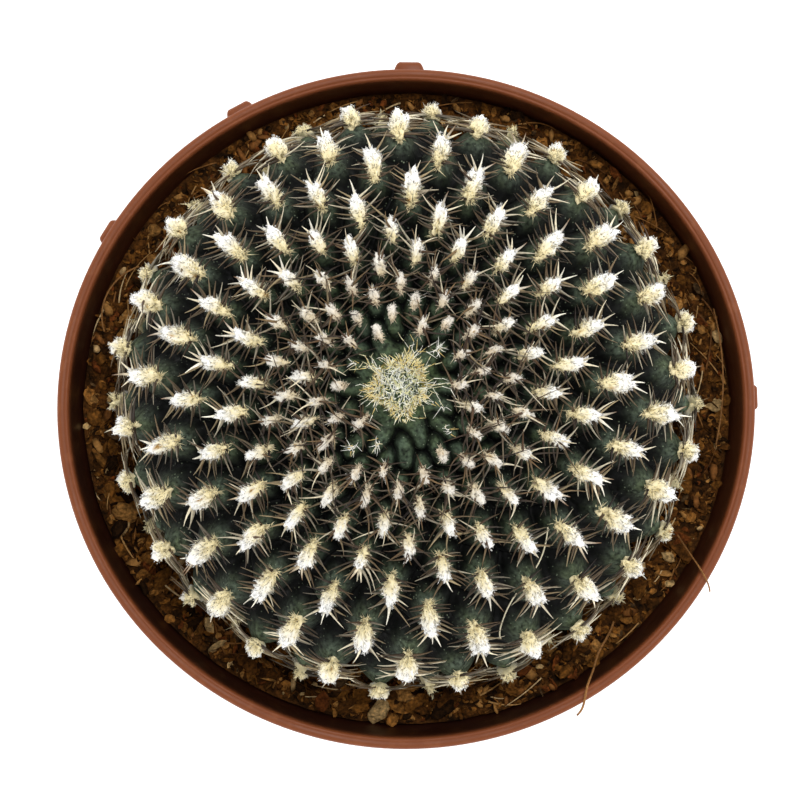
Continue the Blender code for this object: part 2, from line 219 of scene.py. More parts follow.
def fade(value: np.ndarray, start: float, width: float) -> np.ndarray:
    """0 as far as start, then evenly up to 1 over a width."""
    return np.clip((value - start) / width, 0, 1)


def fade_out(value: np.ndarray, end: float, width: float) -> np.ndarray:
    """1 until a width before end, then evenly down to 0 at end."""
    return np.clip((end - value) / width, 0, 1)


def waves(x: np.ndarray, y: np.ndarray, size: float, seed: int) -> np.ndarray:
    """A smooth, lumpy field from about -1 to 1: a few crossed waves with seeded phases.

    Args:
        x: First coordinates.
        y: Second coordinates.
        size: The usual distance between two crests.
        seed: Which field.

    Returns:
        The field's value at each place.
    """
    draw = random.Random(seed)
    count, highest = 6, 3.2
    total = np.zeros_like(np.asarray(x, dtype=float))
    for _ in range(count):
        heading = draw.uniform(0, math.pi)
        wave = 2 * math.pi / (size * draw.uniform(0.7, 1.5))
        phase = draw.uniform(0, 2 * math.pi)
        total += np.sin((x * math.cos(heading) + y * math.sin(heading)) * wave + phase)
    return total / highest


def linear(red: int, green: int, blue: int) -> Colour:
    """A linear colour from display values of 0 to 255.

    Args:
        red: The red value.
        green: The green value.
        blue: The blue value.

    Returns:
        The colour.
    """
    return tuple(
        v / 255 / 12.92 if v <= 10 else ((v / 255 + 0.055) / 1.055) ** 2.4
        for v in (red, green, blue)
    )


def grey(value: float) -> Colour:
    """A grey, also used as a factor for all three channels."""
    return (value, value, value)


BLACK = grey(0.0)
WHITE = grey(1.0)


def shades_for(
    count: int, shades: tuple[Colour, ...], odds: tuple[float, ...], draw: np.random.Generator,
) -> np.ndarray:
    """One of some shades for each of many shapes.

    Args:
        count: How many shapes.
        shades: The colours to pick from.
        odds: How likely each colour is.
        draw: The random source.

    Returns:
        One linear RGB row for each shape.
    """
    return np.array(shades)[draw.choice(len(shades), size=count, p=odds)]


def paint_evenly(obj: bpy.types.Object, colour: Colour) -> None:
    """Gives every vertex the same tint."""
    paint(obj, TINT, np.tile(np.array(colour), (len(obj.data.vertices), 1)))


def place_piece(obj: bpy.types.Object, finish: "Finish", slot: str, *nodes: str) -> None:
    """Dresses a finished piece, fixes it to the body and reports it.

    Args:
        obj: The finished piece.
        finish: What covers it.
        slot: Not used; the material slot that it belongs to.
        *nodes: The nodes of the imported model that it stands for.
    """
    obj.data.materials.clear()
    obj.data.materials.append(finish.material())
    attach(obj, BODY)
    if nodes:
        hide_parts(*nodes)
    obj.data.calc_loop_triangles()
    LOG.info("%s: %d triangles, %s", obj.name, len(obj.data.loop_triangles), finish.name)


class Template:
    """A small shape that is modelled once; its bent or scattered copies are joined into a piece."""

    def __init__(self, obj: bpy.types.Object) -> None:
        """Reads the modelled shape and removes it.

        Args:
            obj: The shape, upright from height 0 to 1 or centred on the origin.
        """
        obj.data.calc_loop_triangles()
        self.points = points_of(obj)
        self.triangles = np.array([list(t.vertices) for t in obj.data.loop_triangles])
        bpy.data.objects.remove(obj, do_unlink=True)

    @classmethod
    def thorn(cls, sides: int, segments: int, tip: float) -> "Template":
        """A tapered stalk one unit high and one unit in radius at its foot.

        Args:
            sides: How many sides it has.
            segments: How many rings of faces, so that it can bend.
            tip: Its radius at the top.

        Returns:
            The template.
        """
        start_clean()
        bpy.ops.mesh.primitive_cone_add(vertices=sides, radius1=1, radius2=tip, depth=1)
        edit_all()
        bpy.ops.transform.translate(value=(0, 0, 0.5))
        for k in range(1, segments):
            bpy.ops.mesh.select_all(action="SELECT")
            bpy.ops.mesh.bisect(plane_co=(0, 0, k / segments), plane_no=(0, 0, 1))
        close_edit()
        return cls(bpy.context.object)

    @classmethod
    def lump(cls, subdivisions: int) -> "Template":
        """A ball of radius 1.

        Args:
            subdivisions: How fine it is.

        Returns:
            The template.
        """
        start_clean()
        bpy.ops.mesh.primitive_ico_sphere_add(subdivisions=subdivisions, radius=1)
        return cls(bpy.context.object)

    def join(self, positions: np.ndarray) -> tuple[np.ndarray, np.ndarray]:
        """The points and triangles of many copies.

        Args:
            positions: (copies, points, 3) places.

        Returns:
            All points and all triangles.
        """
        copies, count, _ = positions.shape
        offsets = np.arange(copies)[:, None, None] * count
        return positions.reshape(-1, 3), (self.triangles[None] + offsets).reshape(-1, 3)

    def bent(
        self, feet: np.ndarray, headings: np.ndarray, lengths: np.ndarray, radii: np.ndarray,
        sags: np.ndarray,
    ) -> np.ndarray:
        """Places of the points of copies that stand on feet and bend as they rise.

        Args:
            feet: (n, 3) foot of each copy.
            headings: (n, 3) unit direction in which each sets out.
            lengths: (n,) lengths.
            radii: (n,) radii at the foot.
            sags: (n, 3) how far the tip is moved aside, as a share of the length.

        Returns:
            (n, points, 3) places.
        """
        x, y, along = (column[None, :, None] for column in self.points.T)
        upright = np.abs(headings[:, 2:3]) > 0.9
        first = unit(np.cross(headings, np.where(upright, [[1.0, 0, 0]], [[0, 0, 1.0]])))
        second = np.cross(headings, first)
        path = along * headings[:, None] + along**2 * sags[:, None]
        spread = x * first[:, None] + y * second[:, None]
        return feet[:, None] + lengths[:, None, None] * path + radii[:, None, None] * spread


# ------------------------------------------------------------------ finishes

class Graph:
    """A material's nodes, with short calls for the ones that the finishes need."""

    def __init__(self, name: str) -> None:
        """Starts a Principled material.

        Args:
            name: The material's name.
        """
        self.made = bpy.data.materials.new(name)
        self.made.use_nodes = True
        self.nodes = self.made.node_tree.nodes
        self.shader = self.nodes["Principled BSDF"]
        self.place = self.nodes.new("ShaderNodeTexCoord").outputs["Object"]

    def link(self, start: Socket, end: Socket) -> None:
        """Joins an output to an input."""
        self.made.node_tree.links.new(start, end)

    def set(self, **values: object) -> None:
        """Sets the shader's own sockets; a name's underscores stand for spaces."""
        for name, value in values.items():
            self.shader.inputs[name.replace("_", " ")].default_value = value

    def feed(self, name: str, value: Socket) -> None:
        """Joins a value to one of the shader's inputs."""
        self.link(value, self.shader.inputs[name])

    def noise(self, size: float, detail: float) -> Socket:
        """Cloudy noise on the object's coordinates.

        Args:
            size: Lump size in metres.
            detail: How many finer octaves.

        Returns:
            The noise value.
        """
        node = self.nodes.new("ShaderNodeTexNoise")
        node.inputs["Scale"].default_value = 1 / size
        node.inputs["Detail"].default_value = detail
        self.link(self.place, node.inputs["Vector"])
        return node.outputs["Fac"]

    def cells(self, size: float) -> Socket:
        """The distance to the nearest of many scattered dots about size apart.

        Args:
            size: How far apart the dots are, in metres.

        Returns:
            The distance, as a share of size.
        """
        node = self.nodes.new("ShaderNodeTexVoronoi")
        node.inputs["Scale"].default_value = 1 / size
        self.link(self.place, node.inputs["Vector"])
        return node.outputs["Distance"]

    def attribute(self, name: str) -> Socket:
        """The colour painted on the vertices under this name.

        Args:
            name: The attribute's name.

        Returns:
            The colour.
        """
        node = self.nodes.new("ShaderNodeAttribute")
        node.attribute_name = name
        return node.outputs["Color"]

    def ramp(self, value: Socket, *stops: tuple[float, Colour]) -> Socket:
        """Colours along a value.

        Args:
            value: The value that is looked up.
            *stops: (position, colour) pairs, in order.

        Returns:
            The colour.
        """
        node = self.nodes.new("ShaderNodeValToRGB")
        elements = node.color_ramp.elements
        while len(elements) < len(stops):
            elements.new(0.5)
        for element, (position, colour) in zip(elements, stops):
            element.position = position
            element.color = (*colour, 1.0)
        self.link(value, node.inputs["Fac"])
        return node.outputs["Color"]

    def mix(
        self, share: Socket | float, low: Socket | Colour, high: Socket | Colour, blend: str = "MIX",
    ) -> Socket:
        """Blends two colours.

        Args:
            share: How much of the second one.
            low: The first colour or its socket.
            high: The second colour or its socket.
            blend: Blender's name for the way they are blended.

        Returns:
            The blended colour.
        """
        node = self.nodes.new("ShaderNodeMix")
        node.data_type = "RGBA"
        node.blend_type = blend
        for socket, value in zip((node.inputs[0], node.inputs[6], node.inputs[7]), (share, low, high)):
            if isinstance(value, Socket):
                self.link(value, socket)
            elif isinstance(value, tuple):
                socket.default_value = (*value, 1.0)
            else:
                socket.default_value = value
        return node.outputs[2]

    def product(self, first: Socket, second: Socket) -> Socket:
        """Two colours multiplied."""
        return self.mix(1.0, first, second, "MULTIPLY")

    def bump(self, height: Socket, depth: float, strength: float = 1.0) -> None:
        """Raises the surface by a height value.

        Args:
            height: The value, 0 to 1.
            depth: How high 1 is, in metres.
            strength: How much of it shows.
        """
        node = self.nodes.new("ShaderNodeBump")
        node.inputs["Distance"].default_value = depth
        node.inputs["Strength"].default_value = strength
        if self.shader.inputs["Normal"].links:
            self.link(self.shader.inputs["Normal"].links[0].from_socket, node.inputs["Normal"])
        self.link(height, node.inputs["Height"])
        self.link(node.outputs["Normal"], self.shader.inputs["Normal"])


@dataclass(frozen=True)
class Finish:
    """What covers a piece."""

    name: str

    def material(self) -> bpy.types.Material:
        """The material, made by each kind of finish."""
        raise NotImplementedError


@dataclass(frozen=True)
class MouldedPlastic(Finish):
    """Satin terracotta-coloured plastic: faint flow marks, scuffs, soil stains and painted shade inside, and
    a fine mould texture.
    """

    colour: Colour = linear(132, 73, 41)
    dusty: Colour = linear(152, 92, 56)
    deep_tone_and_groove_shade: Colour = linear(104, 48, 22)
    stain_shade_colour: Colour = linear(46, 18, 7)
    flow_size: float = 14 * MM
    evenness: float = 0.6
    scuff_size: float = 1.6 * MM
    scuff_strength: float = 0.35
    grain_size: float = 0.35 * MM
    grain_depth: float = 0.02 * MM
    dent_size: float = 9 * MM
    dent_depth: float = 0.25 * MM
    wear_size: float = 5 * MM

    def material(self) -> bpy.types.Material:
        """Builds the material.

        Returns:
            The material.
        """
        graph = Graph(self.name)
        graph.set(IOR=1.49, Specular_IOR_Level=0.24)
        base = graph.mix(graph.noise(self.flow_size, 4), self.deep_tone_and_groove_shade, self.colour)
        base = graph.mix(self.evenness, base, self.colour)
        scuffs = graph.ramp(graph.noise(self.scuff_size, 6), (0.56, BLACK), (0.72, WHITE))
        bare_plastic = graph.mix(graph.mix(self.scuff_strength, BLACK, scuffs), base, self.dusty)
        # Inside the pot the plastic is mixed towards a dark maroon by the painted attribute: part soil stain,
        # part painted shade.
        graph.feed("Base Color", graph.mix(graph.attribute(STAIN_AND_SHADE), bare_plastic, self.stain_shade_colour))
        wear = graph.noise(self.wear_size, 5)
        graph.feed("Roughness", graph.ramp(wear, (0.3, grey(0.38)), (0.7, grey(0.58))))
        graph.bump(graph.noise(self.grain_size, 2), self.grain_depth)
        graph.bump(graph.noise(self.dent_size, 2), self.dent_depth, 0.6)
        return graph.made


@dataclass(frozen=True)
class PottingMix(Finish):
    """Loose brown potting mix, each grain its own shade."""

    mottle_size: float = 0.45 * MM
    pit_size: float = 0.25 * MM
    pit_depth: float = 0.12 * MM

    def material(self) -> bpy.types.Material:
        """Builds the material.

        Returns:
            The material.
        """
        graph = Graph(self.name)
        graph.set(Roughness=0.95, Specular_IOR_Level=0.1)
        mottle = graph.ramp(
            graph.noise(self.mottle_size, 6), (0.3, grey(0.3)), (0.52, WHITE), (0.72, (1.9, 1.8, 1.6))
        )
        graph.feed("Base Color", graph.product(graph.attribute(TINT), mottle))
        graph.bump(graph.noise(self.pit_size, 4), self.pit_depth)
        return graph.made


@dataclass(frozen=True)
class CactusSkin(Finish):
    """Dark, waxy green skin with a grey bloom and fine pale specks."""

    speck: Colour = linear(142, 154, 128)
    cloud_size: float = 0.5 * MM
    bloom_size: float = 2.4 * MM
    speck_spacing: float = 0.5 * MM
    speck_patch: float = 1.3 * MM
    pore_size: float = 0.3 * MM
    pore_depth: float = 0.05 * MM
    wax_size: float = 0.9 * MM

    def material(self) -> bpy.types.Material:
        """Builds the material.

        Returns:
            The material.
        """
        graph = Graph(self.name)
        graph.set(IOR=1.42, Specular_IOR_Level=0.22)
        cloud = graph.ramp(graph.noise(self.cloud_size, 8), (0.32, grey(0.25)), (0.68, (2.05, 2.02, 2.0)))
        bloom = graph.noise(self.bloom_size, 4)
        bloom = graph.ramp(bloom, (0.4, (1.0, 1.0, 0.85)), (0.62, (1.14, 1.14, 1.24)))
        base = graph.product(graph.product(graph.attribute(TINT), cloud), bloom)
        dots = graph.ramp(graph.cells(self.speck_spacing), (0.13, WHITE), (0.22, BLACK))
        patch = graph.ramp(graph.noise(self.speck_patch, 4), (0.47, BLACK), (0.62, grey(0.7)))
        graph.feed("Base Color", graph.mix(graph.product(dots, patch), base, self.speck))
        wax = graph.noise(self.wax_size, 3)
        graph.feed("Roughness", graph.ramp(wax, (0.3, grey(0.55)), (0.7, grey(0.8))))
        graph.bump(graph.noise(self.pore_size, 3), self.pore_depth)
        return graph.made


@dataclass(frozen=True)
class PaintedFibre(Finish):
    """Hairs, spines and root fibres, coloured from foot to tip by the tint painted on them."""

    roughness: float
    fleck: float
    shine: float = 0.15
    fleck_size: float = 0.4 * MM

    def material(self) -> bpy.types.Material:
        """Builds the material.

        Returns:
            The material.
        """
        graph = Graph(self.name)
        graph.set(Roughness=self.roughness, IOR=1.5, Specular_IOR_Level=self.shine)
        low, high = grey(1 - self.fleck), grey(1 + self.fleck)
        shade = graph.ramp(graph.noise(self.fleck_size, 3), (0.3, low), (0.7, high))
        graph.feed("Base Color", graph.product(graph.attribute(TINT), shade))
        return graph.made


# ------------------------------------------------------------------ the plant's own order

@dataclass
class Areole:
    """One areole: where it sits, which way it faces and how far it has grown."""

    t: float
    size: float
    place: np.ndarray
    normal: np.ndarray
    outward: np.ndarray
    side: np.ndarray

    def flank(self, start: float, width: float) -> float:
        """0 on top of the plant and 1 on its flank, with a start and a width in degrees."""
        return fade(math.degrees(self.t), start, width)


@dataclass
class Globe:
    """The flattened globe that the tubercle tips lie on, and the spiral of areoles over it.

    A place on it is (t, angle): t is 0 at the growing tip, a quarter turn at the equator and half a
    turn at the bottom. An areole's share of the skin grows with its distance from the tip along the
    skin, the arc, and each level of two areoles takes up two shares. At anchor_arc the spiral has
    reached anchor_level.
    """

    radius: float = 34.6 * MM
    rise: float = 22.5 * MM
    drop: float = 16.0 * MM
    equator: float = 67.0 * MM
    centre: tuple[float, float] = (0.0, 0.8 * MM)
    lean: tuple[float, float] = (-0.85 * MM, 2.0 * MM)
    tip_radius: float = 4.1 * MM
    tip_dish: float = 0.9 * MM
    end_height: float = 58.6 * MM
    level_turn: float = math.radians(68.754)
    first_angle: float = math.radians(101.8)
    anchor_arc: float = 10.66 * MM
    anchor_level: float = 20.8
    full_share: float = 88.3 * MM * MM
    share_arc: float = 33 * MM
    share_power: float = 2.29
    young_share: float = 5.5 * MM * MM
    first_extra: float = 0.45
    first_reach: float = 3 * MM
    first_size: float = 0.4
    early_odds: float = 0.14
    early_growth: float = 1.42
    unevenness: float = 0.1
    grown_share: float = 56 * MM * MM
    seed: int = 29

    def __post_init__(self) -> None:
        """Works out the distance along the skin and the level at every t."""
        self.ts = np.linspace(0, math.pi, 1801)
        radius = self.radius * np.sin(self.ts)
        steps = np.hypot(np.diff(radius), np.diff(self.semi_axis(self.ts) * np.cos(self.ts)))
        self.arc = np.concatenate([[0], np.cumsum(steps)])
        roomy = 1 + self.first_extra * fade_out(self.arc, self.anchor_arc, self.first_reach)
        per_arc = math.pi * radius / (self.share(self.arc) * roomy)
        self.levels = np.concatenate([[0], np.cumsum((per_arc[1:] + per_arc[:-1]) / 2 * steps)])
        self.levels += self.anchor_level - np.interp(self.anchor_arc, self.arc, self.levels)
        self.tip = math.asin(self.tip_radius / self.radius)
        self.end = math.pi - math.acos((self.equator - self.end_height) / self.drop)

    def semi_axis(self, t: np.ndarray) -> np.ndarray:
        """The vertical semi-axis at t."""
        return np.where(np.asarray(t) < math.pi / 2, self.rise, self.drop)

    def share(self, arc: np.ndarray) -> np.ndarray:
        """The skin area of one areole at a distance from the tip, small on young growth."""
        grown = self.full_share * (1 - np.exp(-((arc / self.share_arc) ** self.share_power)))
        return np.hypot(grown, self.young_share)

    def size_at(self, t: np.ndarray) -> np.ndarray:
        """How far grown the tubercles at t are, from 0 up to 1."""
        return np.minimum(1.0, np.sqrt(self.share(np.interp(t, self.ts, self.arc)) / self.grown_share))

    def normal(self, t: np.ndarray, angle: np.ndarray) -> np.ndarray:
        """The outward direction of the skin at (t, angle).

        Args:
            t: Polar places.
            angle: Directions round the axis.

        Returns:
            (..., 3) unit directions.
        """
        side = self.semi_axis(t) * np.sin(t)
        parts = [side * np.cos(angle), side * np.sin(angle), self.radius * np.cos(t)]
        return unit(np.stack(np.broadcast_arrays(*parts), axis=-1))

    def place(self, t: np.ndarray, angle: np.ndarray, lift: np.ndarray = 0.0) -> np.ndarray:
        """The points at (t, angle), raised from the skin.

        Args:
            t: Polar places.
            angle: Directions round the axis.
            lift: How far above the skin.

        Returns:
            (..., 3) points.
        """
        radius = self.radius * np.sin(t)
        dish = self.tip_dish * np.exp(-((radius / (1.3 * self.tip_radius)) ** 2))
        lean = np.maximum(np.cos(t), 0.0)
        x = radius * np.cos(angle) + self.centre[0] + lean * self.lean[0]
        y = radius * np.sin(angle) + self.centre[1] + lean * self.lean[1]
        z = self.equator + self.semi_axis(t) * np.cos(t) - dish
        points = np.stack(np.broadcast_arrays(x, y, z), axis=-1)
        return points + np.asarray(lift)[..., None] * self.normal(t, angle)

    def areoles(self) -> list[Areole]:
        """Every areole, two opposite ones on each level, from the tip outwards.

        Returns:
            The areoles, in the order in which they grow.
        """
        found = []
        draw = np.random.default_rng(self.seed)
        first = math.ceil(np.interp(self.tip * 1.25, self.ts, self.levels))
        last = math.floor(np.interp(self.end - 0.1, self.ts, self.levels))
        for level in range(first, last + 1):
            t = float(np.interp(level, self.levels, self.ts))
            for half in (0, math.pi):
                angle = self.first_angle + level * self.level_turn + half
                normal = self.normal(t, angle)
                side = np.array([-math.sin(angle), math.cos(angle), 0.0])
                size = float(self.size_at(t))
                size *= 1 + draw.uniform(-self.unevenness, self.unevenness) * min(1.0, 2 * (1.3 - size))
                if size < self.first_size and draw.random() < self.early_odds:
                    size *= self.early_growth
                place = self.place(t, angle)
                found.append(Areole(t, size, place, normal, np.cross(side, normal), side))
        return found


# ------------------------------------------------------------------ pot

@dataclass
class NurseryPot:
    """The plastic pot: a thin turned shell with a collar, a grooved lip, moulded lugs and drain holes."""

    height: float = 66 * MM
    rim: float = 42.5 * MM
    squeeze: float = 0.026
    lip: float = 1.5 * MM
    wall: float = 1.2 * MM
    collar: float = 12 * MM
    collar_step: float = 1.4 * MM
    collar_taper: float = 1.2 * MM
    base: float = 29.5 * MM
    foot: float = 3.0 * MM
    recess: float = 1.5 * MM
    floor: float = 1.4 * MM
    steps: int = 192
    drain_holes: int = 6
    drain_radius: float = 3.2 * MM
    drain_circle: float = 19 * MM
    lugs: tuple[tuple[float, float], ...] = (
        (2, 0.45 * MM), (89.5, 1.0 * MM), (118.5, 0.8 * MM), (148.5, 0.65 * MM),
    )
    lug_size: tuple[float, float, float] = (2.0 * MM, 4.0 * MM, 3.2 * MM)
    lug_round: float = 0.45 * MM
    lug_slant: float = 0.6 * MM
    lug_drop: float = 1.2 * MM
    # Under a bare band at the lip the inner wall is darkened, part soil stain and part painted shade; on one
    # side it is painted lighter, as painted light.
    unmarked_edge: float = 0.2 * MM
    stain_shade_reach: float = 1.7 * MM
    stain_shade_power: float = 0.55
    painted_light_side: float = math.radians(60)
    crease: float = 40
    finish: Finish = field(default_factory=lambda: MouldedPlastic("terracotta plastic"))

    def oval(self, z: np.ndarray) -> np.ndarray:
        """How much narrower the pot is along Y at a height, as a factor."""
        return 1 - self.squeeze * z / self.height

    def wall_radius(self, z: float) -> float:
        """The outer radius under the collar."""
        top = self.rim - self.collar_taper - self.collar_step
        return self.base + (top - self.base) * z / (self.height - self.collar)

    def bore(self, z: float) -> float:
        """The radius inside the collar.

        Args:
            z: The height.

        Returns:
            The radius.
        """
        low = (self.rim - self.collar_taper - self.wall, self.height - self.collar + 1.2 * MM)
        high = (self.rim - self.lip, self.height - 0.5 * MM)
        return low[0] + (high[0] - low[0]) * (z - low[1]) / (high[1] - low[1])

    def outline(self) -> list[tuple[float, float]]:
        """The pot's cross section, from the underside's middle up outside, over the lip and down inside.

        Returns:
            (radius, height) corners.
        """
        top = self.height
        ledge = top - self.collar
        shoulder = self.rim - self.collar_taper
        foot_in = self.base - self.foot
        under = [
            (1.0 * MM, self.recess), (8 * MM, self.recess), (foot_in - 0.6 * MM, self.recess),
            (foot_in - 0.25 * MM, self.recess - 0.3 * MM), (foot_in, 0.15 * MM), (foot_in + 0.2 * MM, 0),
            (self.base - 0.9 * MM, 0), (self.base - 0.35 * MM, 0.25 * MM),
            (self.wall_radius(1.2 * MM), 1.2 * MM),
        ]
        sides = [(self.wall_radius(z), z) for z in (6 * MM, 18 * MM, 30 * MM, 42 * MM, ledge - 1.0 * MM)]
        collar = [
            (self.wall_radius(ledge) + 0.1 * MM, ledge - 0.3 * MM),
            (self.wall_radius(ledge) + 0.4 * MM, ledge),
            (shoulder - 0.3 * MM, ledge + 0.05 * MM),
            (shoulder, ledge + 0.4 * MM),
            (self.rim - self.collar_taper * 0.5, top - self.collar / 2),
            (self.rim - 0.05 * MM, top - 1.2 * MM),
        ]
        lip = [
            (self.rim, top - 0.5 * MM), (self.rim - 0.06 * MM, top - 0.22 * MM),
            (self.rim - 0.22 * MM, top - 0.06 * MM),
            (self.rim - 0.42 * MM, top), (self.rim - 0.72 * MM, top), (self.rim - 0.84 * MM, top - 0.04 * MM),
            (self.rim - 0.94 * MM, top - 0.08 * MM), (self.rim - 1.06 * MM, top - 0.03 * MM),
            (self.rim - 1.16 * MM, top - 0.02 * MM), (self.rim - 1.3 * MM, top - 0.1 * MM),
            (self.rim - 1.44 * MM, top - 0.3 * MM), (self.bore(top - 0.8 * MM), top - 0.8 * MM),
        ]
        inside = [
            (self.bore(top - 1.5 * MM), top - 1.5 * MM), (self.bore(top - 2.4 * MM), top - 2.4 * MM),
            (self.bore(top - 5 * MM), top - 5 * MM), (self.bore(ledge + 1.2 * MM), ledge + 1.2 * MM),
            (self.wall_radius(ledge) - self.wall, ledge - 0.6 * MM),
            (self.wall_radius(28 * MM) - self.wall, 28 * MM),
            (self.wall_radius(5 * MM) - self.wall, 5 * MM),
            (self.wall_radius(self.recess) - self.wall - 1.4 * MM, self.recess + self.floor),
            (1.0 * MM, self.recess + self.floor),
        ]
        return under + sides + collar + lip + inside

    def build(self) -> bpy.types.Object:
        """Models the pot and dresses it.

        Returns:
            The finished piece.
        """
        pot = turned("nursery_pot", self.outline(), self.steps)
        for degrees, reach in self.lugs:
            self.add_lug(pot, math.radians(degrees), reach)
        for k in range(self.drain_holes):
            self.cut_drain(pot, 2 * math.pi * k / self.drain_holes)
        points = points_of(pot)
        points[:, 1] *= self.oval(points[:, 2])
        set_points(pot, points)
        self.stain_and_shade(pot, points)
        smooth_by_angle(pot, self.crease)
        place_piece(pot, self.finish, Slot.PLASTIC.value, "pot")
        return pot

    def stain_and_shade(self, pot: bpy.types.Object, points: np.ndarray) -> None:
        """Paints how dark the plastic is: bare outside; inside, soil stain and painted shade below the lip,
        with painted light on one side of the inner wall.

        Args:
            pot: The finished shape.
            points: Its vertices.
        """
        x, y, z = points.T
        radius = np.hypot(x, y / self.oval(z))
        inside = np.where(z > self.height - self.collar, self.bore(z), self.wall_radius(z) - self.wall)
        inner = (radius < inside + 0.1 * MM) & (z > self.recess + 0.2 * MM)
        # Painted shade and soil stain deepen below the lip; one side of the wall gets painted light.
        depth = fade_out(z, self.height - self.unmarked_edge, self.stain_shade_reach) ** self.stain_shade_power
        depth *= np.minimum(1, 0.82 - 0.36 * np.cos(np.arctan2(y, x) - self.painted_light_side))
        paint(pot, STAIN_AND_SHADE, np.repeat(np.where(inner, depth, 0)[:, None], 3, axis=1))

    def add_lug(self, pot: bpy.types.Object, angle: float, reach: float) -> None:
        """Joins one moulded nub to the outside of the rim.

        Args:
            pot: The pot.
            angle: Where it sits round the rim.
            reach: How far it stands out.
        """
        depth, width, height = self.lug_size
        start_clean()
        bpy.ops.mesh.primitive_cube_add(size=1)
        lug = bpy.context.object
        edit_all()
        bpy.ops.transform.resize(value=(depth, width, height))
        bpy.ops.mesh.bevel(offset=self.lug_round, segments=3)
        close_edit()
        points = points_of(lug)
        outer = points[:, 0] / depth + 0.5
        points[:, 1] *= 1.12 - 0.4 * outer
        slant = np.where(points[:, 2] < 0, self.lug_slant * outer, 0)
        points[:, 2] += slant + self.height - self.lug_drop - height / 2
        points[:, 0] += self.rim + reach - depth / 2
        x, y = points[:, 0].copy(), points[:, 1].copy()
        points[:, 0] = x * math.cos(angle) - y * math.sin(angle)
        points[:, 1] = x * math.sin(angle) + y * math.cos(angle)
        set_points(lug, points)
        apply_modifier(pot, "BOOLEAN", object=lug, operation="UNION", solver="EXACT")
        bpy.data.objects.remove(lug, do_unlink=True)

    def cut_drain(self, pot: bpy.types.Object, angle: float) -> None:
        """Cuts one drainage hole through the floor.

        Args:
            pot: The pot.
            angle: Where it sits round the floor.
        """
        start_clean()
        centre = (self.drain_circle * math.cos(angle), self.drain_circle * math.sin(angle), self.recess)
        bpy.ops.mesh.primitive_cylinder_add(
            vertices=32, radius=self.drain_radius, depth=8 * MM, location=centre,
        )
        cutter = bpy.context.object
        apply_modifier(pot, "BOOLEAN", object=cutter, operation="DIFFERENCE", solver="EXACT")
        bpy.data.objects.remove(cutter, do_unlink=True)


def turned(name: str, outline: list[tuple[float, float]], steps: int) -> bpy.types.Object:
    """A closed round body: a circle extruded and scaled from corner to corner of an outline.

    Args:
        name: The object's name.
        outline: (radius, height) corners; both ends lie near the axis and are closed with a face.
        steps: How many sides it has.

    Returns:
        The object.
    """
    start_clean()
    bpy.ops.mesh.primitive_circle_add(vertices=steps, radius=outline[0][0], fill_type="NGON")
    edit_all()
    bpy.ops.transform.translate(value=(0, 0, outline[0][1]))
    bpy.ops.mesh.select_mode(type="EDGE")
    for (radius, height), (next_radius, next_height) in zip(outline, outline[1:]):
        bpy.ops.mesh.extrude_region_move(TRANSFORM_OT_translate={"value": (0, 0, next_height - height)})
        share = next_radius / radius
        bpy.ops.transform.resize(value=(share, share, 1))
    close_outwards()
    obj = bpy.context.object
    obj.name = name
    return obj


# ------------------------------------------------------------------ soil

@dataclass(frozen=True)
class GrainSort:
    """One sieve size of loose grains; they lie from a radius outwards, or by the pot's wall."""

    count: int
    smallest: float
    largest: float
    detail: int
    inner: float
    by_wall: bool = False


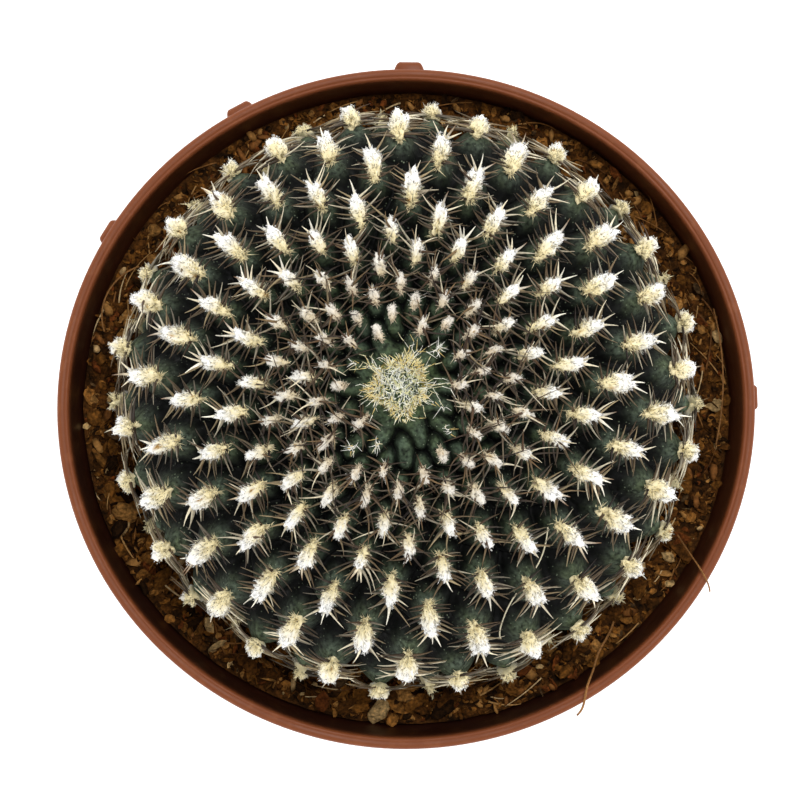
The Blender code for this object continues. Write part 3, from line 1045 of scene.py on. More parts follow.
@dataclass
class SoilBed:
    """The potting mix: a rough surface round the plant, loose grains, husks and root fibres."""

    pot: NurseryPot
    plant_centre: tuple[float, float]
    level: float = 57.6 * MM
    slope: tuple[float, float] = (0.012, 0.010)
    roughness: float = 0.35 * MM
    crumb: float = 0.26 * MM
    crest: float = 0.8 * MM
    crest_radius: float = 35 * MM
    crest_width: float = 5 * MM
    gap: float = 0.3 * MM
    socket: float = 17.5 * MM
    socket_taper: float = 0.64
    socket_depth: float = 12.3 * MM
    steps: int = 320
    crease: float = 50
    dark: Colour = linear(30, 17, 6)
    light: Colour = linear(92, 56, 22)
    grain_sorts: tuple[GrainSort, ...] = (
        GrainSort(6400, 0.25 * MM, 0.62 * MM, 1, 29.5 * MM),
        GrainSort(492, 0.6 * MM, 1.1 * MM, 2, 33 * MM),
        GrainSort(130, 1.1 * MM, 1.7 * MM, 2, 33 * MM, by_wall=True),
    )
    grain_shades: tuple[Colour, ...] = (
        linear(44, 26, 9), linear(84, 51, 19), linear(114, 73, 29), linear(138, 92, 42),
        linear(160, 114, 60), linear(108, 58, 24), linear(192, 158, 106), linear(88, 66, 42),
    )
    grain_odds: tuple[float, ...] = (0.16, 0.22, 0.26, 0.18, 0.08, 0.06, 0.015, 0.025)
    grain_crease: float = 38
    coarse_side: float = math.radians(230)
    coarse_spread: float = math.radians(62)
    coarse_oval: float = 0.977
    litter_from: float = 33.5 * MM
    fibres: int = 150
    fibre_shades: tuple[Colour, ...] = (
        linear(176, 132, 78), linear(140, 94, 48), linear(104, 66, 32), linear(206, 176, 128),
    )
    fibre_odds: tuple[float, ...] = (0.3, 0.35, 0.25, 0.1)
    husks: int = 90
    husk_thickness: float = 0.12 * MM
    husk_shades: tuple[Colour, ...] = (linear(166, 118, 62), linear(132, 84, 40), linear(196, 160, 108))
    husk_odds: tuple[float, ...] = (0.45, 0.4, 0.15)
    root_colour: Colour = linear(146, 102, 58)
    root_radii: tuple[float, ...] = (0.14 * MM, 0.1 * MM, 0.1 * MM, 0.1 * MM)
    grain_seed: int = 31
    litter_seed: int = 37
    finish: Finish = field(default_factory=lambda: PottingMix("potting mix"))
    fibre_finish: Finish = field(default_factory=lambda: PaintedFibre("root fibre", 0.8, 0.35))

    def height(self, x: np.ndarray, y: np.ndarray) -> np.ndarray:
        """The height of the smooth surface under the grains.

        Args:
            x: First coordinates.
            y: Second coordinates.

        Returns:
            The heights.
        """
        clods = self.roughness * (waves(x, y, 9 * MM, 3) + waves(x, y, 4.5 * MM, 4))
        crest = self.crest * np.exp(-(((np.hypot(x, y) - self.crest_radius) / self.crest_width) ** 2))
        return self.level + self.slope[0] * x + self.slope[1] * y + clods + crest

    def build(self) -> None:
        """Models the bed, its grains, its husks and its fibres."""
        self.build_bed()
        self.build_grains()
        self.build_litter()
        self.build_long_roots()

    def outline(self) -> list[tuple[float, float]]:
        """The bed's cross section, from the socket's floor over the surface and down the wall.

        Returns:
            (radius, height) corners.
        """
        edge = self.pot.bore(self.level) - self.gap
        floor = self.pot.recess + self.pot.floor
        ledge = self.pot.height - self.pot.collar
        wall = self.pot.wall + self.gap
        bottom = self.level - self.socket_depth
        socket = [
            (1 * MM, bottom), (self.socket * self.socket_taper, bottom), (self.socket + 0.6 * MM, self.level),
        ]
        hidden = [(r, self.level) for r in np.linspace(self.socket + 2 * MM, 31 * MM, 8)]
        shown = [(r, self.level) for r in np.linspace(31.3 * MM, edge, 30)]
        sides = [
            (self.pot.bore(ledge + 1.2 * MM) - self.gap, ledge + 1.2 * MM),
            (self.pot.wall_radius(ledge) - wall, ledge - 0.6 * MM),
            (self.pot.wall_radius(floor) - wall, floor + 1.2 * MM),
            (self.pot.wall_radius(floor) - wall - 1.2 * MM, floor + self.gap),
            (1 * MM, floor + self.gap),
        ]
        return socket + hidden + shown + sides

    def build_bed(self) -> None:
        """The soil's body, with a socket for the root."""
        bed = turned("soil_bed", self.outline(), self.steps)
        points = points_of(bed)
        x, y, z = points.T
        top = np.abs(z - self.level) < 0.005 * MM
        crumbs = self.crumb * (waves(x, y, 1.9 * MM, 21) + waves(x, y, 1.1 * MM, 22))
        points[top, 2] = (self.height(x, y) + crumbs)[top]
        upper = z > self.level - self.socket_depth - 1 * MM
        inner = fade_out(np.hypot(x, y), 26 * MM, 6 * MM) * upper
        points[:, 0] += self.plant_centre[0] * inner
        points[:, 1] += self.plant_centre[1] * inner
        points[:, 1] *= self.pot.oval(points[:, 2])
        set_points(bed, points)
        smooth_by_angle(bed, self.crease)
        shade = 0.5 + 0.5 * waves(x, y, 2.5 * MM, 23)
        dark, light = np.array(self.dark), np.array(self.light)
        paint(bed, TINT, dark + (light - dark) * np.clip(shade, 0, 1)[:, None])
        place_piece(bed, self.finish, Slot.SOIL.value, "soil")

    def scatter(self, count: int, inner: float, draw: np.random.Generator) -> np.ndarray:
        """Random places on the ring of soil round the plant.

        Args:
            count: How many.
            inner: The ring's inner radius.
            draw: The random source.

        Returns:
            (count, 3) places on the surface.
        """
        outer = self.pot.bore(self.level) - 0.65 * MM
        radius = np.sqrt(draw.uniform(inner**2, outer**2, count))
        angle = draw.uniform(0, 2 * math.pi, count)
        x, y = radius * np.cos(angle), radius * np.sin(angle)
        return np.stack([x, y * self.pot.oval(self.level), self.height(x, y)], axis=1)

    def by_the_wall(self, count: int, draw: np.random.Generator) -> np.ndarray:
        """Random places near the pot's wall, most of them on the side with the coarse grains.

        Args:
            count: How many.
            draw: The random source.

        Returns:
            (count, 3) places on the surface.
        """
        angle = draw.normal(self.coarse_side, self.coarse_spread, count)
        radius = draw.uniform(34 * MM, self.pot.bore(self.level) - 1.6 * MM, count)
        x, y = radius * np.cos(angle), radius * np.sin(angle) * self.coarse_oval
        return np.stack([x, y, self.height(x, y)], axis=1)

    def build_grains(self) -> None:
        """All loose grains, as one piece."""
        draw = np.random.default_rng(self.grain_seed)
        grains = joined("soil_grains", [self.grains_of(sort, draw) for sort in self.grain_sorts])
        active(grains)
        edit_all()
        close_outwards()
        smooth_by_angle(grains, self.grain_crease)
        place_piece(grains, self.finish, Slot.SOIL.value)

    def grains_of(self, sort: GrainSort, draw: np.random.Generator) -> Shapes:
        """The grains of one size: each a ball squashed and dented its own way.

        Args:
            sort: Their size, number and place.
            draw: The random source.

        Returns:
            Their points, triangles and colours.
        """
        ball = Template.lump(sort.detail)
        count = sort.count
        sizes = draw.uniform(sort.smallest, sort.largest, count)
        places = self.scatter(count, sort.inner, draw)
        if sort.by_wall:
            places = self.by_the_wall(count, draw)
        turns = unit(draw.normal(size=(count, 3, 3)))
        stretch = draw.uniform(0.6, 1.25, (count, 1, 3))
        dents = draw.uniform(0.78, 1.12, (count, len(ball.points), 1))
        shapes = np.einsum("npk,nkj->npj", ball.points[None] * stretch * dents, turns)
        shapes *= (sizes / np.maximum(np.abs(shapes).max(axis=(1, 2)), 1e-9))[:, None, None]
        places[:, 2] += sizes * draw.uniform(0.0, 0.5, count)
        points, triangles = ball.join(places[:, None] + shapes)
        colours = shades_for(count, self.grain_shades, self.grain_odds, draw)
        colours *= draw.uniform(0.75, 1.25, (count, 1))
        return points, triangles, np.repeat(colours, len(ball.points), axis=0)

    def build_litter(self) -> None:
        """The curled root fibres and the husks that lie on the soil, as one piece."""
        draw = np.random.default_rng(self.litter_seed)
        litter = joined("root_fibres", [self.curls_of(draw), self.husks_of(draw)])
        place_piece(litter, self.fibre_finish, Slot.SOIL.value)

    def curls_of(self, draw: np.random.Generator) -> Shapes:
        """Thin root fibres that curl inwards and stay inside the pot's wall.

        Args:
            draw: The random source.

        Returns:
            Their points, triangles and colours.
        """
        stalk = Template.thorn(5, 7, 0.55)
        count = self.fibres
        places = self.scatter(count, self.litter_from, draw)
        places[:, 2] += draw.uniform(0.2, 0.9, count) * MM
        way = draw.choice([-1, 1], count)
        angle = np.arctan2(places[:, 1], places[:, 0]) + way * draw.uniform(0.9, 2.2, count)
        lift = draw.uniform(-0.05, 0.25, count)
        headings = unit(np.stack([np.cos(angle), np.sin(angle), lift], axis=1))
        lengths = draw.uniform(1.6, 6.0, count) * MM
        inwards = -unit(places * [1, 1, 0])
        sags = inwards * draw.uniform(0.1, 0.4, (count, 1)) - [[0, 0, 0.08]]
        radii = draw.uniform(0.06, 0.15, count) * MM
        strands = stalk.bent(places, headings, lengths, radii, sags)
        limit = self.pot.bore(self.level) - 0.5 * MM
        radius = np.hypot(strands[..., 0], strands[..., 1])
        strands[..., :2] *= np.minimum(1, limit / radius)[..., None]
        points, triangles = stalk.join(strands)
        colours = shades_for(count, self.fibre_shades, self.fibre_odds, draw)
        return points, triangles, np.repeat(colours, len(stalk.points), axis=0)

    def husks_of(self, draw: np.random.Generator) -> Shapes:
        """Flat tan chips that lie on the surface.

        Args:
            draw: The random source.

        Returns:
            Their points, triangles and colours.
        """
        chip = Template.lump(1)
        count = self.husks
        places = self.scatter(count, self.litter_from, draw)
        places[:, 2] += draw.uniform(0.3, 0.8, count) * MM
        tilt = unit(draw.normal(size=(count, 3)) * [0.35, 0.35, 0.1] + [0, 0, 1])
        first = unit(np.cross(tilt, draw.normal(size=(count, 3))))
        second = np.cross(tilt, first)
        long = draw.uniform(0.5, 1.3, count) * MM
        wide = long * draw.uniform(0.3, 0.7, count)
        p = chip.points[None] * draw.uniform(0.8, 1.2, (count, len(chip.points), 1))
        shapes = p[..., 0, None] * (first * long[:, None])[:, None]
        shapes = shapes + p[..., 1, None] * (second * wide[:, None])[:, None]
        shapes += p[..., 2, None] * (tilt * self.husk_thickness)[:, None]
        points, triangles = chip.join(places[:, None] + shapes)
        colours = shades_for(count, self.husk_shades, self.husk_odds, draw)
        return points, triangles, np.repeat(colours, len(chip.points), axis=0)

    def build_long_roots(self) -> None:
        """Four long root fibres: two climb out of the soil over the rim, two lie along the wall.

        The routes are in millimetres, with heights above the top of the pot.
        """
        over_rim_left = (
            (25.7, -26.4, -7.5), (25.2, -27.8, -5.6), (23.5, -29.5, -4.2), (23.2, -31.6, -2.4),
            (22.1, -33.0, 0.7), (21.8, -34.2, 1.4), (21.6, -35.6, 1.3), (21.4, -36.6, 0.2),
            (20.9, -37.3, -1.2),
        )
        over_rim_right = (
            (33.6, -15.6, -6.6), (34.6, -17.4, -4.0), (35.4, -18.8, 0.8), (36.1, -20.0, 1.6),
            (36.8, -21.4, 1.0), (37.0, -22.2, -0.6),
        )
        west_wall = (
            (-33.0, 17.6, -6.4), (-36.0, 16.6, -5.2), (-37.5, 13.8, -4.4), (-37.8, 11.6, -4.4),
            (-37.2, 9.6, -5.6),
        )
        east_wall = (
            (38.0, 12.4, -6.4), (38.9, 8.5, -5.0), (39.3, 4.5, -4.6), (39.2, 0.5, -4.8), (38.3, -4.4, -6.4),
        )
        routes = (over_rim_left, over_rim_right, west_wall, east_wall)
        for number, (route, radius) in enumerate(zip(routes, self.root_radii), start=1):
            points = [(x * MM, y * MM, self.pot.height + z * MM) for x, y, z in route]
            strand = drawn_strand(f"long_root_{number}", points, radius)
            paint_evenly(strand, self.root_colour)
            place_piece(strand, self.fibre_finish, Slot.SOIL.value)


def drawn_strand(name: str, route: list[tuple[float, float, float]], radius: float) -> bpy.types.Object:
    """A smooth round strand drawn as a curve along some points, then turned into a mesh.

    Args:
        name: The object's name.
        route: The points that shape the curve, five or more.
        radius: The strand's radius.

    Returns:
        The object.
    """
    start_clean()
    bpy.ops.curve.primitive_nurbs_path_add()
    strand = bpy.context.object
    strand.name = name
    spline = strand.data.splines[0]
    spline.points.add(len(route) - len(spline.points))
    for point, place in zip(spline.points, route):
        point.co = (*place, 1)
    spline.use_endpoint_u = True
    strand.data.bevel_depth = radius
    strand.data.bevel_resolution = 1
    strand.data.use_fill_caps = True
    active(strand)
    bpy.ops.object.convert(target="MESH")
    bpy.ops.object.transform_apply(location=True, rotation=True, scale=True)
    smooth_by_angle(strand, 50)
    return strand


def joined(name: str, pieces: list[Shapes]) -> bpy.types.Object:
    """One painted object from several groups of closed shapes.

    Args:
        name: The object's name.
        pieces: (points, triangles, colours) of each group.

    Returns:
        The object, with its tint painted on.
    """
    starts = np.cumsum([0] + [len(points) for points, _, _ in pieces])
    triangles = [faces + start for (_, faces, _), start in zip(pieces, starts)]
    obj = mesh_piece(name, np.concatenate([p for p, _, _ in pieces]), np.concatenate(triangles))
    paint(obj, TINT, np.concatenate([c for _, _, c in pieces]))
    return obj


# ------------------------------------------------------------------ plant

@dataclass
class CactusStem:
    """The green body: tubercles set in a double spiral, with sharp grooves between them, and its root."""

    globe: Globe
    areoles: list[Areole]
    groove: float = 4.8 * MM
    crest: float = 1.9 * MM
    finger: float = 1.5 * MM
    pair_weight: float = 0.72
    corner_weight: float = 0.28
    flatness: float = 0.45
    neck_turn: float = 0.1
    neck_depth: float = 0.8
    finer_above: tuple[float, ...] = (48, 24)
    root: float = 17.5 * MM
    root_taper: float = 0.64
    root_step: float = 1.2 * MM
    root_bottom: float = 45.6 * MM
    young: Colour = linear(55, 67, 51)
    old: Colour = linear(69, 79, 64)
    # Near-black painted shade for the grooves between tubercles.
    deep_tone_and_groove_shade: Colour = linear(1, 2, 1)
    fresh: Colour = linear(54, 67, 46)
    finish: Finish = field(default_factory=lambda: CactusSkin("cactus skin"))

    def nearest_ridges(self, points: np.ndarray, block: int = 8192) -> np.ndarray:
        """How far each point is from the ridges of the three nearest tubercles.

        Args:
            points: (n, 3) places on the smooth skin.
            block: How many points are measured at a time.

        Returns:
            (n, 3) distances, the nearest first.
        """
        tips = np.array([areole.place for areole in self.areoles])
        along = np.array([areole.outward for areole in self.areoles])
        size = np.array([areole.size for areole in self.areoles])
        outer = self.crest * size**1.15
        inner = np.maximum(outer, self.finger * fade_out(size, 0.5, 0.12))
        near = np.empty((len(points), 3))
        for start in range(0, len(points), block):
            part = slice(start, start + block)
            away = points[part, None] - tips[None]
            slide = np.clip(np.einsum("pak,ak->pa", away, along), -inner, outer)
            gap = np.linalg.norm(away - slide[..., None] * along, axis=2)
            near[part] = np.sort(np.partition(gap, 2, axis=1)[:, :3], axis=1)
        return near

    def relief(self, t: np.ndarray, angle: np.ndarray) -> tuple[np.ndarray, np.ndarray]:
        """How the tubercles lift the skin.

        Args:
            t: Polar places.
            angle: Directions round the axis.

        Returns:
            The lift in metres, and how near each place is to a tubercle's tip, from 0 to 1.
        """
        first, second, third = self.nearest_ridges(self.globe.place(t, angle)).T
        pair = (second - first) / (second + first)
        corner = (third - first) / (third + first)
        tip = np.clip(self.pair_weight * pair + self.corner_weight * corner, 0, 1)
        grown = self.globe.size_at(t)
        dome = np.sqrt(1 - (1 - tip) ** 2)
        dome += self.flatness * fade(grown, 0.4, 0.2) * (tip - dome)
        ripe = fade(t / self.globe.tip, 0.8, 0.5)  # no tubercles on the growing tip itself
        neck = fade(t, self.globe.end - self.neck_turn, self.neck_turn)
        lift = self.groove * grown**0.6 * (dome - 1) * ripe
        return lift * (1 - neck) - self.neck_depth * self.groove * neck, np.maximum(tip, 1 - ripe)

    def build(self) -> bpy.types.Object:
        """Models the stem and dresses it.

        Returns:
            The finished piece.
        """
        start_clean()
        bpy.ops.mesh.primitive_ico_sphere_add(subdivisions=7, radius=1)
        stem = bpy.context.object
        stem.name = "cactus_stem"
        edit_all()
        bpy.ops.mesh.bisect(
            plane_co=(0, 0, math.cos(self.globe.end)), plane_no=(0, 0, 1), use_fill=True, clear_inner=True,
        )
        close_edit()
        for degrees in self.finer_above:
            self.refine(stem, math.radians(degrees))
        points = unit(points_of(stem))
        t = np.arccos(np.clip(points[:, 2], -1, 1))
        angle = np.arctan2(points[:, 1], points[:, 0])
        lift, tip = self.relief(t, angle)
        set_points(stem, self.globe.place(t, angle, lift))
        self.tint(stem, t, tip)
        self.add_root(stem)
        active(stem)
        bpy.ops.object.shade_smooth()
        place_piece(stem, self.finish, Slot.FLESH.value, "cactus")
        return stem

    def refine(self, stem: bpy.types.Object, reach: float) -> None:
        """Cuts the faces near the top finer.

        Args:
            stem: The stem, still a unit ball.
            reach: The polar angle down to which faces are cut.
        """
        centres = np.empty(len(stem.data.polygons) * 3)
        stem.data.polygons.foreach_get("center", centres)
        edit_faces(stem, centres.reshape(-1, 3)[:, 2] > math.cos(reach))
        bpy.ops.mesh.subdivide(number_cuts=1, ngon=False)
        close_edit()

    def tint(self, stem: bpy.types.Object, t: np.ndarray, tip: np.ndarray) -> None:
        """Paints the skin: painted shade, near black, in the grooves between tubercles, fresh green near the
        tip and greyer green outwards.

        Args:
            stem: The stem.
            t: The polar place of each vertex.
            tip: How near each vertex is to a tubercle's tip.
        """
        young, old, deep_tone_and_groove_shade, fresh = map(np.array, (self.young, self.old, self.deep_tone_and_groove_shade, self.fresh))
        age = fade(self.globe.size_at(t), 0.35, 0.6)[:, None]
        # Painted shade: the grooves between tubercles go near black, over more of each older tubercle.
        clear = fade(tip[:, None], 0.08 + 0.16 * age, 0.44) ** (1.2 + 0.6 * age)
        colour = deep_tone_and_groove_shade + (young + (old - young) * age - deep_tone_and_groove_shade) * clear
        bud = fade_out(t / self.globe.tip, 1.25, 0.35)[:, None]
        paint(stem, TINT, colour + (fresh - colour) * bud)

    def add_root(self, stem: bpy.types.Object) -> None:
        """Extrudes the closing face of the stem into its tapered root.

        Args:
            stem: The stem, whose largest face closes it at the bottom.
        """
        faces = stem.data.polygons
        closing = int(np.argmax([len(face.vertices) for face in faces]))
        centre = faces[closing].center.copy()
        ring = max((stem.data.vertices[v].co - centre).length for v in faces[closing].vertices)
        edit_faces(stem, np.arange(len(faces)) == closing)
        drop = self.root_bottom - centre.z - self.root_step
        for rise, share in ((self.root_step, self.root / ring), (drop, self.root_taper)):
            bpy.ops.mesh.extrude_region_move(TRANSFORM_OT_translate={"value": (0, 0, rise)})
            bpy.ops.transform.resize(value=(share, share, 1), center_override=centre)
        close_outwards()


@dataclass
class AreoleWool:
    """The woolly pads on the tubercle tips: lumpy cores under a pile of short thick hairs."""

    areoles: list[Areole]
    length: float = 5.7 * MM
    width: float = 2.05 * MM
    height: float = 1.2 * MM
    growth: float = 1.05
    lumps: tuple[tuple[int, float, float], ...] = ((5, 4.0, 0.08), (6, 9.0, 0.055))
    seat: float = 0.12 * MM
    hairs: int = 400
    fewest_hairs: int = 24
    hair_length: float = 0.44 * MM
    hair_radius: float = 0.072 * MM
    hair_seat: float = 0.05 * MM
    smallest: float = 0.335
    spot_odds: float = 0.35
    spot_size: float = 0.22
    cream: Colour = linear(244, 230, 184)
    outer_white_and_light: Colour = linear(255, 254, 250)
    pinkish: Colour = linear(232, 214, 190)
    amber: Colour = linear(178, 142, 84)
    seed: int = 43
    finish: Finish = field(default_factory=lambda: PaintedFibre("areole wool", 0.95, 0.06))

    def shape(self, areole: Areole, ball: np.ndarray, draw: np.random.Generator) -> np.ndarray:
        """Places on an areole's pad.

        Args:
            areole: Where the pad sits.
            ball: (n, 3) directions: outward from the plant's tip, sideways, and up from the skin.
            draw: The random source for its lumps.

        Returns:
            (n, 3) places.
        """
        outer, side, up = ball.T
        size = areole.size
        flank = areole.flank(55, 15)
        slim = 1 - 0.42 * np.clip(-outer, 0, 1) ** 1.7  # narrower inwards, with blunt ends
        slim *= np.clip(1 - outer**2, 0.03, 1) ** np.where(outer > 0, -0.13, -0.08)
        lumps = np.ones(len(ball))
        for count, fineness, depth in self.lumps:
            for _ in range(count):
                wave = draw.normal(size=3) * fineness
                lumps += depth * np.sin(ball @ wave + draw.uniform(0, 6.3))
        along = self.length / 2 * size**self.growth * outer * lumps
        across = self.width / 2 * (0.22 + 0.78 * size) * (1 + 0.12 * flank) * side * slim * lumps
        rise = self.height * (0.2 + 0.8 * size) * (1 + 0.35 * flank) * up * lumps
        rise *= np.where(up > 0, 0.8 + 0.2 * outer, 0.45)
        shares = np.stack([along, across, rise + self.seat], axis=1)
        return areole.place + shares @ np.array([areole.outward, areole.side, areole.normal])

    def colours(
        self, ball: np.ndarray, size: float, spot: np.ndarray, draw: np.random.Generator,
    ) -> np.ndarray:
        """Wool colours: cream at the inner end, whiter at the outer end as wool colour and painted light from
        the sides, with an amber spot.

        Args:
            ball: (n, 3) directions on the pad.
            size: How far grown the areole is.
            spot: The spot's direction and its size.
            draw: The random source.

        Returns:
            (n, 3) linear colours.
        """
        cream, outer_white_and_light, pinkish = map(np.array, (self.cream, self.outer_white_and_light, self.pinkish))
        # The outer end is painted whiter: partly the wool's own colour, partly painted light where the pad
        # faces the bright sides.
        share = fade(ball[:, 0] + draw.normal(0, 0.2, len(ball)), -0.5, 0.9)[:, None]
        youth = 0.75 * fade_out(size, 0.62, 0.2)
        inner = cream + (pinkish - cream) * youth
        found = (inner + (outer_white_and_light - inner) * share * (1 - 0.55 * youth)) * (1 - 0.12 * youth)
        close = np.linalg.norm(ball - spot[:3], axis=1) < spot[3]
        found[close] = self.amber
        return found

    def spot_on(self, draw: np.random.Generator) -> np.ndarray:
        """A random amber spot on a pad: its direction and its size, which is 0 on most pads."""
        place = unit(np.array([draw.uniform(-0.9, 0.2), draw.uniform(-0.7, 0.7), draw.uniform(0.3, 0.8)]))
        return np.append(place, draw.uniform(0.0, self.spot_size) if draw.random() < self.spot_odds else 0.0)

    def build(self) -> bpy.types.Object:
        """Models the pads' cores and their hairs.

        Returns:
            The piece with the cores.
        """
        draw = np.random.default_rng(self.seed)
        core = Template.lump(3)
        hair = Template.thorn(3, 1, 0)
        cores, tufts = [], []
        for areole in self.areoles:
            if areole.size < self.smallest:
                continue
            spot = self.spot_on(draw)
            seed = int(draw.integers(1 << 30))
            shaped = self.shape(areole, core.points, np.random.default_rng(seed))
            cores.append((shaped, core.triangles, self.colours(core.points, areole.size, spot, draw)))
            tufts.append(self.hairs_of(areole, hair, spot, seed, draw))
        pads = joined("areole_pads", cores)
        place_piece(pads, self.finish, Slot.WOOL.value)
        half = len(tufts) * 3 // 5  # the outer areoles have more hairs each
        for number, share in enumerate((tufts[:half], tufts[half:]), start=1):
            place_piece(joined(f"areole_hairs_{number}", share), self.finish, Slot.WOOL.value)
        return pads

    def hairs_of(
        self, areole: Areole, hair: Template, spot: np.ndarray, seed: int, draw: np.random.Generator,
    ) -> Shapes:
        """The hairs of one areole.

        Args:
            areole: Where they stand.
            hair: The hair that is copied.
            spot: The amber spot's direction and size.
            seed: The pad's own seed, so that the hairs stand on its lumps.
            draw: The random source.

        Returns:
            Their points, triangles and colours.
        """
        count = max(self.fewest_hairs, int(self.hairs * areole.size**1.3))
        ball = unit(draw.normal(size=(count * 2, 3)) * [1, 1, 0.8] + [0, 0, 0.25])
        ball = ball[ball[:, 2] > -0.15][:count]
        count = len(ball)
        feet = self.shape(areole, ball, np.random.default_rng(seed)) - areole.normal * self.hair_seat
        facing = ball / [self.length * 0.6, self.width, self.height * 1.2] * self.width
        lean = unit(unit(facing) + draw.normal(size=(count, 3)) * 0.38 + [0.18, 0, 0.1])
        headings = lean @ np.array([areole.outward, areole.side, areole.normal])
        flank = areole.flank(58, 12)
        stray = np.where(draw.random(count) < 0.1, 1.9, 1.0) * np.where(ball[:, 0] < -0.75, 1.5, 1.0)
        stray *= np.where(ball[:, 0] > 0.3, 0.62 - 0.24 * flank, 1 - 0.3 * flank)
        lengths = self.hair_length * draw.uniform(0.55, 1.2, count) * (0.55 + 0.45 * areole.size) * stray
        sags = draw.normal(size=(count, 3)) * 0.18
        radii = self.hair_radius * draw.uniform(0.7, 1.3, count)
        points, triangles = hair.join(hair.bent(feet, headings, lengths, radii, sags))
        shaded = np.where(draw.random((count, 1)) < 0.2, 0.5, 1.0)
        tone = self.colours(ball, areole.size, spot, draw) * draw.uniform(0.66, 1.05, (count, 1)) * shaded
        return points, triangles, np.repeat(tone, len(hair.points), axis=0)


@dataclass(frozen=True)
class Spine:
    """One spine: its foot, how it sets out and bends, and its colours at the foot and at the tip."""

    foot: np.ndarray
    heading: np.ndarray
    length: float
    radius: float
    sag: np.ndarray
    low: np.ndarray
    high: np.ndarray


